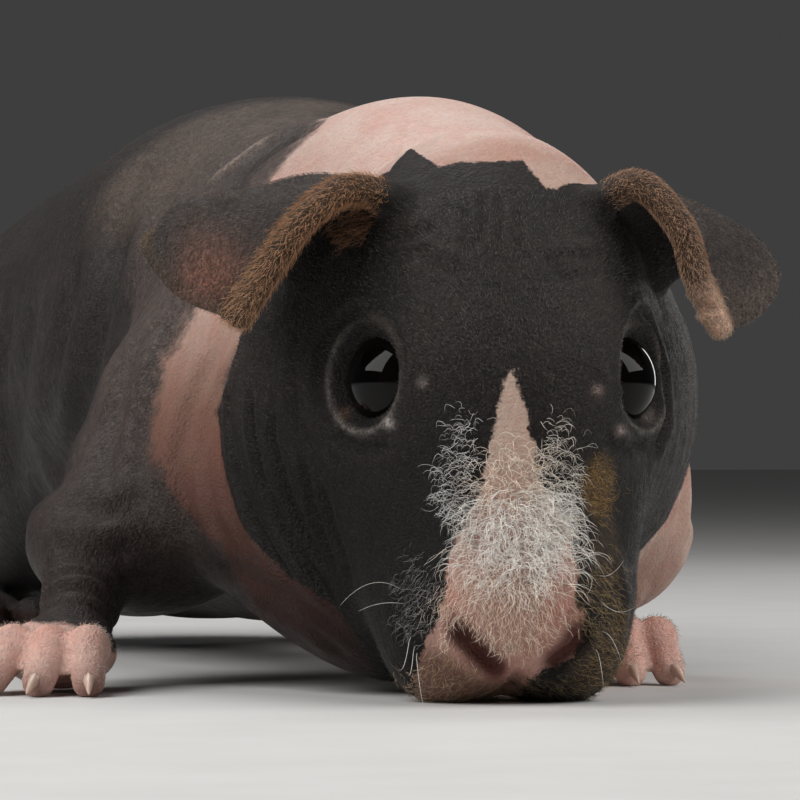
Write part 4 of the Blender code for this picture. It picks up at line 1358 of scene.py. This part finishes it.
def curved_claw(root, direction, radius, length):
    """A claw as a short curved horn: rings of eight round a line that bends down to the floor."""
    ahead = np.array(Vector((direction[0], direction[1], 0)).normalized())
    start = root + np.array((0, 0, radius * 0.3)) - ahead * radius * 0.6
    end = root + ahead * (length + radius)
    end[2] = 0.0008
    side, up = np.cross(ahead, (0, 0, 1)), np.array((0, 0, 1))
    rings, sides, points = 7, 8, []
    for n in range(rings):
        t = n / (rings - 1)
        middle = start + (end - start) * t + np.array((0, 0, 0.0005)) * math.sin(math.pi * t)
        width = radius * 0.62 * (1 - t) ** 0.75 + 0.00012
        for k in range(sides):
            turn = 2 * math.pi * k / sides
            points.append(middle + width * (0.8 * math.cos(turn) * side + math.sin(turn) * up))
    last = (rings - 1) * sides
    tris = tube_faces(rings, sides)
    tris += [(0, k + 1, k) for k in range(1, sides - 1)]
    tris += [(last, last + k, last + k + 1) for k in range(1, sides - 1)]
    return points, tris


def claws(name, tips, length):
    """A claw at the end of each finger."""
    points, tris = [], []
    for tip in tips:
        more, faces = curved_claw(tip.b, tip.b - tip.a, tip.radius_b, length)
        tris += [tuple(v + len(points) for v in face) for face in faces]
        points += more
    return mesh_of(name, points, tris)


horn = claw_material()
finish_piece(claws("claws_fore", TIPS["fore"], 0.0028), horn)
finish_piece(claws("claws_hind", TIPS["hind"], 0.0038), horn)

# Hair.


class Skin:
    """The skin's triangles, to scatter hair on."""

    def __init__(self, points, mesh):
        mesh.calc_loop_triangles()
        tris = np.empty(len(mesh.loop_triangles) * 3, int)
        mesh.loop_triangles.foreach_get("vertices", tris)
        self.tris = tris.reshape(-1, 3)
        self.points = points
        a, b, c = (points[self.tris[:, n]] for n in range(3))
        cross = np.cross(b - a, c - a)
        self.area = np.linalg.norm(cross, axis=1) / 2
        self.normal = unit(cross)
        self.middle = (a + b + c) / 3

    def scatter(self, density):
        """Roots and skin normals; density is in hairs per square millimetre, one value a triangle."""
        expected = density * self.area * MM**2
        count = np.floor(expected + rng.random(len(expected))).astype(int)
        face = np.repeat(np.arange(len(count)), count)
        share = rng.random((len(face), 2))
        over = share.sum(1) > 1
        share[over] = 1 - share[over]
        a, b, c = (self.points[self.tris[face, n]] for n in range(3))
        return a + (b - a) * share[:, :1] + (c - a) * share[:, 1:], self.normal[face], face


ROOT_DEPTH = 0.00015
HAIR_CLEAR = 0.00010
BAKE_MAP = "OFBake"


def hair_lines(roots, normals, lie, length, shape, steps, lift):
    """The points along each hair, kept off the skin and the floor, and the way to each hair's side."""
    n = len(roots)
    lie = unit(lie - (lie * normals).sum(1)[:, None] * normals)
    side = np.cross(normals, lie)
    rise, curl, turns, bow = (np.broadcast_to(value, n) for value in shape)
    phase = rng.uniform(0, 2 * math.pi, n)
    line = np.empty((steps + 1, n, 3))
    line[0] = roots - normals * ROOT_DEPTH
    t = np.linspace(0, 1, steps + 1)
    for k in range(steps):
        mid = (t[k] + t[k + 1]) / 2
        angle = phase + turns * 2 * math.pi * mid
        way = (
            normals * (rise * (1 - mid * 0.9) + 0.35 * curl * np.sin(angle))[:, None]
            + lie * (0.35 + 0.65 * mid)
            + side * (curl * np.cos(angle) + bow * math.cos(math.pi * mid))[:, None]
        )
        line[k + 1] = line[k] + unit(way) * (length / steps)[:, None]
    for k in range(1, steps + 1):
        d, g = flesh(line[k], True, 0.0)
        line[k] += np.clip(HAIR_CLEAR + lift * t[k] - d, 0, 0.0015)[:, None] * g
    line[:, :, 2] = np.maximum(line[:, :, 2], FLOOR_CUT + 0.0001)
    return line, side


def hair_faces(steps):
    """One hair's triangles, and where their corners are on the hair: round it and along it, from 0 to 1."""
    faces = [(0, 2, 1)] + tube_faces(steps, 3)
    corner = [((0, 0), (1, 0), (0, 1))]
    for k in range(steps - 1):
        low, high = k / steps, (k + 1) / steps
        for c in range(3):
            left, right = c / 3, (c + 1) / 3
            corner += [((left, low), (right, low), (right, high)), ((left, low), (right, high), (left, high))]
    last, low = (steps - 1) * 3, (steps - 1) / steps
    for c in range(3):
        faces.append((last + c, last + (c + 1) % 3, steps * 3))
        corner.append(((c / 3, low), ((c + 1) / 3, low), ((c + 0.5) / 3, 1)))
    return np.array(faces), np.array(corner)


def hair_piece(
    name, roots, normals, lie, length, radius, tint, rise, curl=0.3, turns=0.5, steps=3, lift=0.0, bow=0.0,
):
    """Hairs as closed tapered tubes of three sides; length and radius are in mm, one value a hair. lie is the
    way they lie, rise how steeply they start, curl how far they swing aside, turns how often, bow how far
    they arch and lift how far their ends stay off the skin, in metres."""
    n = len(roots)
    line, side = hair_lines(roots, normals, lie, length / MM, (rise, curl, turns, bow), steps, lift)
    points = np.empty((n, steps * 3 + 1, 3))
    t = np.linspace(0, 1, steps + 1)
    for k in range(steps):
        way = unit(line[min(k + 1, steps)] - line[max(k - 1, 0)])
        u = unit(np.cross(way, normals + side * 0.37))
        v = np.cross(way, u)
        wide = radius / MM * (1 - 0.75 * t[k] ** 1.5)
        for c in range(3):
            turn = 2 * math.pi * c / 3
            points[:, k * 3 + c] = line[k] + wide[:, None] * (u * math.cos(turn) + v * math.sin(turn))
    points[:, -1] = line[steps]
    faces, corner = hair_faces(steps)
    tris = (faces[None] + (np.arange(n) * (steps * 3 + 1))[:, None, None]).reshape(-1, 3)
    obj = mesh_of(name, points.reshape(-1, 3), tris)
    attribute(obj.data, "tint", np.repeat(tint, steps * 3 + 1, axis=0))
    # Each hair has its own small place on the map, by the way its root lies from the head's middle.
    q = roots - np.array(HEAD_AT)
    around = np.arctan2(q[:, 0], -q[:, 1]) / (2 * math.pi) + 0.5
    up = np.arcsin(np.clip(q[:, 2] / np.maximum(np.linalg.norm(q, axis=1), 1e-9), -1, 1)) / math.pi + 0.5
    base = np.stack([around, up], axis=1) * 0.99 + 0.002
    uv = base[:, None, None, :] + corner[None] * 0.003
    obj.data.uv_layers.new(name=BAKE_MAP).data.foreach_set("uv", uv.astype(np.float32).ravel())
    print(name, n, "hairs", len(tris), "triangles")
    finish_piece(obj, hair_look)


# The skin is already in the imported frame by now, so the triangles come from p, in the design frame.
coat = Skin(p, skin.data)
coat_mm = coat.middle * MM
at = (coat.middle - np.array(HEAD_AT)) @ HEAD_AXES * MM
on_ear = ear_share[coat.tris].mean(1)
tone = mark[coat.tris].mean(1)
fu, fv = in_frame(coat.middle)
turned_to = (coat.normal * unit(np.array(CAMERA_AT) - coat.middle)).sum(1)
hair_look = hair_material()


def local_way(x, y, z):
    """Directions given in the head's own frame."""
    return np.stack(np.broadcast_arrays(x, y, z), axis=1).astype(float) @ HEAD_AXES.T


# The muzzle's hair grows in front of the eyes, on the side turned to the camera, and not in the nostrils.
in_front = smooth(-at[:, 1], 7, 9) * smooth(turned_to, -0.05, 0.12)
HOLE_RIGHT = ((462, 632), (474, 646), (488, 658), (500, 668))
HOLE_LEFT = ((574, 642), (562, 654), (548, 664))
from_holes = np.minimum(np.abs(beside(fu, fv, HOLE_RIGHT)), np.abs(beside(fu, fv, HOLE_LEFT)))
bare = smooth(from_holes, 1.0, 2.2)
# By kind: centre and radii of its patch in the frame, hairs per square millimetre, shortest and longest in
# mm, two tints, curl, how steeply it rises, and the way it lies (aside, down).
PATCHES = {"curls": (
    ((516, 545), (62, 62), 6.5, 2.2, 5.0, (1.0, 0.97, 0.92), (0.98, 0.86, 0.75), 0.5, 1.0, 1.0, 0.5),
    ((520, 532), (40, 48), 6.0, 3.0, 5.6, (1.0, 0.99, 0.96), (1.0, 0.95, 0.88), 0.4, 1.1, 0.9, 0.6),
    ((508, 478), (46, 38), 4.0, 1.8, 3.8, (1.0, 0.92, 0.82), (0.86, 0.68, 0.52), 0.6, 0.9, 1.0, 0.2),
    ((462, 480), (28, 72), 5.0, 1.0, 2.8, (0.84, 0.82, 0.80), (0.40, 0.38, 0.37), 0.6, 0.9, 1.0, 0.3),
    ((555, 482), (28, 72), 5.0, 1.0, 3.0, (0.94, 0.88, 0.80), (0.50, 0.44, 0.38), 0.6, 0.9, 1.0, 0.3),
), "fuzz": (
    ((502, 612), (68, 54), 8.5, 0.9, 2.0, (1.0, 0.88, 0.74), (0.92, 0.68, 0.50), 0.5, 0.7, 0.5, 0.8),
    ((418, 598), (25, 54), 5.5, 0.9, 1.9, (0.14, 0.13, 0.13), (0.46, 0.43, 0.41), 0.9, 0.9, 0.6, 0.5),
    ((452, 682), (58, 34), 3.6, 0.8, 2.0, (0.62, 0.46, 0.30), (0.30, 0.19, 0.11), 0.4, 0.6, 0.5, 0.8),
    ((596, 628), (36, 86), 4.5, 0.8, 1.8, (0.42, 0.29, 0.13), (0.16, 0.11, 0.06), 0.6, 0.7, 0.7, 0.6),
    ((540, 694), (62, 26), 4.0, 0.7, 1.5, (0.30, 0.22, 0.12), (0.12, 0.09, 0.06), 0.4, 0.5, 0.4, 0.8),
    ((597, 490), (24, 40), 3.2, 0.9, 1.9, (0.40, 0.24, 0.07), (0.22, 0.13, 0.05), 0.7, 0.6, 0.8, 0.3),
)}
PARTING = 508  # the column of the frame from which the muzzle's hair lies to either side
for word, patches in PATCHES.items():
    curled = word == "curls"
    found = []
    for (cx, cy), (ru, rv), many, short, long, tint_a, tint_b, curl, rise, aside, down in patches:
        from_centre = np.hypot((fu - cx) / ru, (fv - cy) / rv) + 0.18 * wave(coat_mm, 0.8, 21)
        inside = 1 - smooth(from_centre, 0.55, 1.12)
        roots, ups, face = coat.scatter(many * inside * in_front * bare)
        n = len(face)
        off = (fu[face] - PARTING) / 55 + rng.normal(0, 0.25, n)
        way = local_way(np.clip(off, -1.4, 1.4) * aside, -down, -0.12) + rng.normal(0, 0.32, (n, 3))
        tint = mixed(tint_a, tint_b, rng.random(n) ** 1.4)
        found.append((
            roots, ups, way, rng.uniform(short, long, n), tint * rng.uniform(0.8, 1.08, n)[:, None],
            rng.uniform(0.3, 1.0, n) * rise, rng.uniform(0.3, 1.0, n) * curl,
            rng.normal(0.9, 0.7, n) * np.sign(off) * curled,
        ))
    roots, ups, way, long, tint, rise, curl, bow = (np.concatenate(column) for column in zip(*found))
    n = len(roots)
    thick = rng.uniform(0.022, 0.040, n) if curled else rng.uniform(0.020, 0.032, n)
    hair_piece(
        "muzzle_" + word, roots, ups, way, long, thick, np.clip(tint, 0, 1), rise=rise, curl=curl,
        turns=rng.uniform(0.3, 1.0, n), steps=6 if curled else 4, lift=0.0004, bow=bow,
    )

# The ears' hair: long on the rim, where it lies towards the tip, and short on both faces of the leaf. By ear:
# the longest on the rim in mm, its golden tint, and the share of cream at the tip.
EAR_HAIR = {"right": (1.8, (0.66, 0.35, 0.17), 0.15), "left": (1.2, (0.64, 0.39, 0.25), 0.75)}
for side, (word, (most, gold, creamy)) in zip("RL", EAR_HAIR.items()):
    sheet = EARS[side]
    idx = sheet.near(coat.middle)
    idx = idx[on_ear[idx] > 0.4]
    foot, _, where, normal = sheet.nearest(coat.middle[idx])
    facing = ((coat.middle[idx] - foot) * normal).sum(1) * sheet.outer
    across, along = where.T
    rim = (1 - smooth(across, 0.09, 0.17)) * smooth(along, 0.02, 0.12)
    outer, inner = (1 - rim) * (facing > 0), (1 - rim) * (facing < 0)
    density = np.zeros(len(coat.area))
    density[idx] = 13.0 * rim + 7.5 * outer * smooth(along, 0.15, 0.4) + 2.0 * inner
    roots, ups, face = coat.scatter(density)
    n = len(face)
    place = np.zeros((len(coat.area), 2))
    place[idx] = where
    across, along = place[face].T
    on_rim = rng.random(n) < 1 - smooth(across, 0.09, 0.18)
    anchors = place[face][:: max(1, n // 400)]
    tipward = []
    for width, reach in anchors:
        width, reach = float(min(width, 1)), float(reach)
        after = ear_point(EAR_NETS[side], width, min(reach + 0.05, 1.0))
        before = ear_point(EAR_NETS[side], width, max(reach - 0.05, 0.0))
        tipward.append((LEVEL.to_3x3() @ (after - before)).normalized())
    nearest_anchor = ((place[face][:, None] - anchors[None]) ** 2).sum(2).argmin(1)
    way = np.array(tipward)[nearest_anchor] + rng.normal(0, 0.28, (n, 3))
    long = np.where(on_rim, rng.uniform(0.5, most, n), rng.uniform(0.3, 0.8, n))
    tint = mixed((0.27, 0.135, 0.08), gold, rng.random(n))
    tint = mixed(tint, (0.62, 0.50, 0.38), smooth(along, 0.55, 0.95) * creamy * rng.random(n) ** 0.5)
    leaf_tint = mixed((0.060, 0.048, 0.042), (0.24, 0.185, 0.15), rng.random(n) ** 2)
    hair_piece(
        "ear_fuzz_" + word, roots, ups, way, long, rng.uniform(0.020, 0.034, n),
        np.where(on_rim[:, None], tint, leaf_tint),
        rise=rng.uniform(0.35, 1.0, n), curl=rng.uniform(0.1, 0.7, n), lift=0.0002, bow=rng.normal(0, 0.5, n),
    )

# Short down over the dark head, in an upper and a lower piece of a limited number of hairs.
MOST_DOWN, DOWN_PARTED = 18500, 0.037
faced = smooth(turned_to, -0.25, 0.0)
over = faced * smooth(tone, -0.3, 0.6) * (on_ear < 0.2) * (at[:, 1] < 16)
over = over * smooth(-coat.middle[:, 1], 0.012, 0.02)
for part, lit in (("upper", coat.middle[:, 2] > DOWN_PARTED), ("lower", coat.middle[:, 2] <= DOWN_PARTED)):
    share = over * lit
    roots, ups, face = coat.scatter(share * min(9.0, MOST_DOWN / max((share * coat.area).sum() * MM**2, 1)))
    n = len(face)
    tint = mixed((0.026, 0.021, 0.019), (0.20, 0.178, 0.160), rng.random(n) ** 2.0)
    hair_piece(
        "down_" + part, roots, ups,
        local_way(np.clip(at[face, 0] / 30, -1, 1), 1.0, -0.5) + rng.normal(0, 0.35, (n, 3)),
        rng.uniform(0.3, 0.8, n), rng.uniform(0.016, 0.026, n),
        # painted shade: the down is darker lower on the head, as the skin is
        tint * (0.3 + 0.7 * smooth(roots[:, 2], 0.020, 0.042))[:, None],
        rise=rng.uniform(0.4, 1.0, n), steps=2, lift=0.0001,
    )
# Golden hair on the underside of the right ear's root, below its rim.
knob = np.hypot((fu - 354) / 25, (fv - 221) / 27) + 0.25 * wave(coat_mm, 0.9, 41)
knob = (1 - smooth(knob, 0.7, 1.1)) * faced * (at[:, 1] > 8) * (at[:, 1] < 24)
roots, ups, face = coat.scatter(9.0 * knob)
n = len(face)
hair_piece(
    "ear_root_down", roots, ups, local_way(-0.8, -0.3, -0.5 + np.zeros(n)) + rng.normal(0, 0.4, (n, 3)),
    rng.uniform(0.8, 2.0, n), rng.uniform(0.022, 0.034, n),
    mixed((0.25, 0.12, 0.07), (0.70, 0.37, 0.19), rng.random(n)),
    rise=rng.uniform(0.5, 1.1, n), curl=0.5, lift=0.0003, bow=rng.normal(0, 0.5, n),
)
# Pale down on the forepaws.
paw_share = np.zeros(len(coat.area))
for cx, _, _ in (PAW_RIGHT, PAW_LEFT):
    q = (coat_mm - np.array((cx, -19, 5))) / np.array((17, 19, 8))
    paw_share = np.maximum(paw_share, 1 - smooth(np.linalg.norm(q, axis=1), 0.75, 1.05))
roots, ups, face = coat.scatter(5.0 * paw_share * smooth(coat.normal[:, 2], -0.2, 0.3) * (tone < 0.5))
n = len(face)
hair_piece(
    "paw_down", roots, ups, np.tile((0.0, -1.0, -0.3), (n, 1)) + rng.normal(0, 0.35, (n, 3)),
    rng.uniform(0.5, 1.3, n), rng.uniform(0.018, 0.028, n),
    mixed((0.85, 0.76, 0.70), (0.45, 0.33, 0.28), rng.random(n)), rise=rng.uniform(0.4, 1.0, n), lift=0.0002,
)

# Whiskers: the root and the end as points of the frame, how far the end stands towards the camera and the
# bend, both in mm.
WHISKERS = [
    ((402, 590), (338, 608), 6, 7), ((404, 604), (357, 612), 4, 2), ((410, 636), (398, 668), 5, -6),
    ((414, 646), (408, 674), 5, -5), ((416, 652), (424, 706), 4, -4), ((600, 600), (636, 606), 6, -4),
    ((602, 632), (622, 664), 5, 4), ((596, 650), (604, 690), 5, 4), ((598, 575), (624, 560), 5, -3),
]


def whisker_mesh(name, runs, radius):
    points, tris, sides = [], [], 5
    for run in runs:
        first = len(points)
        for k, here in enumerate(run[:-1]):
            way = (run[k + 1] - run[max(k - 1, 0)]).normalized()
            u = way.cross(Vector((0.3, 0.2, 1))).normalized()
            v = way.cross(u)
            wide = radius * (1 - 0.85 * k / len(run))
            for c in range(sides):
                turn = 2 * math.pi * c / sides
                points.append(here + wide * (u * math.cos(turn) + v * math.sin(turn)))
        points.append(run[-1])
        last = len(points) - 1 - sides
        tris += tube_faces(len(run) - 1, sides, first)
        tris += [(last + c, last + (c + 1) % sides, len(points) - 1) for c in range(sides)]
        tris += [(first, first + c + 1, first + c) for c in range(1, sides - 1)]
    obj = mesh_of(name, [tuple(point) for point in points], tris)
    attribute(obj.data, "tint", np.tile((0.70, 0.66, 0.62), (len(points), 1)))
    corner = np.tile(((0.0, 0.0), (0.003, 0.0), (0.0, 0.003)), (len(tris), 1))
    obj.data.uv_layers.new(name=BAKE_MAP).data.foreach_set("uv", (corner + 0.5).astype(np.float32).ravel())
    return obj


def whisker_run(a, sight_a, b, bend):
    """A curve from root to end, clear of the skin and the floor, its root set into the skin."""
    middle = (a + b) / 2 - sight_a * 0.003 + Vector((0, 0, bend / MM * 0.5))
    run = []
    for k in range(17):
        t = k / 16
        run.append(a * (1 - t) ** 2 + middle * 2 * t * (1 - t) + b * t * t)
    depths, slopes = flesh(np.array(run), True)
    run = [v + Vector(slope) * max(0.0002 - d, 0) if n else v - Vector(slope) * 0.0003
           for n, (v, d, slope) in enumerate(zip(run, depths, slopes))]
    return [Vector((v.x, v.y, max(v.z, 0.0005))) for v in run]


runs = []
for root, end, towards, bend in WHISKERS:
    a = seen(*root)
    if a is not None:
        b = CAMERA_AT + sight(*end) * ((a - CAMERA_AT).length - towards / MM)
        runs.append(whisker_run(a, sight(*root), b, bend))
finish_piece(whisker_mesh("whiskers", runs, 0.00005), hair_look)

# Floor, light and camera.

floor_mesh = bpy.data.meshes.new("floor")
floor_mesh.from_pydata([(-3, -3, 0), (3, -3, 0), (3, 3, 0), (-3, 3, 0)], [], [(0, 1, 2, 3)])
floor = link("floor", floor_mesh)
floor.data.materials.append(floor_material())
floor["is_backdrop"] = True

world = bpy.data.worlds.new("world")
bpy.context.scene.world = world
world.use_nodes = True
background = world.node_tree.nodes["Background"]
background.inputs["Color"].default_value = (0.80, 0.80, 0.80, 1)
background.inputs["Strength"].default_value = 0.06
bpy.context.scene.view_settings.view_transform = "Standard"


def softbox(name, at, aim, size, watts, colour=(1, 1, 1)):
    light = bpy.data.lights.new(name, "AREA")
    light.shape = "RECTANGLE"
    light.size, light.size_y = size
    light.energy = watts
    light.color = colour
    lamp = link(name, light)
    lamp.location = at
    lamp.rotation_euler = (Vector(aim) - Vector(at)).to_track_quat("-Z", "Y").to_euler()


softbox("left", (-0.451, -0.148, 0.436), (-0.01, -0.03, 0.04), (0.50, 0.50), 3.9, (1.0, 0.99, 0.97))
softbox("right", (0.385, -0.300, 0.418), (0.0, -0.03, 0.04), (0.45, 0.50), 3.1, (1.0, 0.99, 0.97))
softbox("top", (-0.05, 0.25, 0.60), (0, 0.02, 0.05), (0.30, 0.25), 1.3)
softbox("rim", (0.44, 0.36, 0.14), (0, 0, 0.05), (0.08, 0.24), 0.22)

camera_data = bpy.data.cameras.new("camera")
camera_data.sensor_width = SENSOR
camera_data.lens = FOCAL * SENSOR / PICTURE
camera_data.shift_y = (HORIZON - PICTURE / 2) / PICTURE
camera_data.clip_start, camera_data.clip_end = 0.05, 20
camera = link("camera", camera_data)
camera.location = CAMERA_AT + SHIFT
camera.rotation_euler = CAMERA_LOOK.to_track_quat("-Z", "Y").to_euler()
bpy.context.scene.camera = camera

low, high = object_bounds()
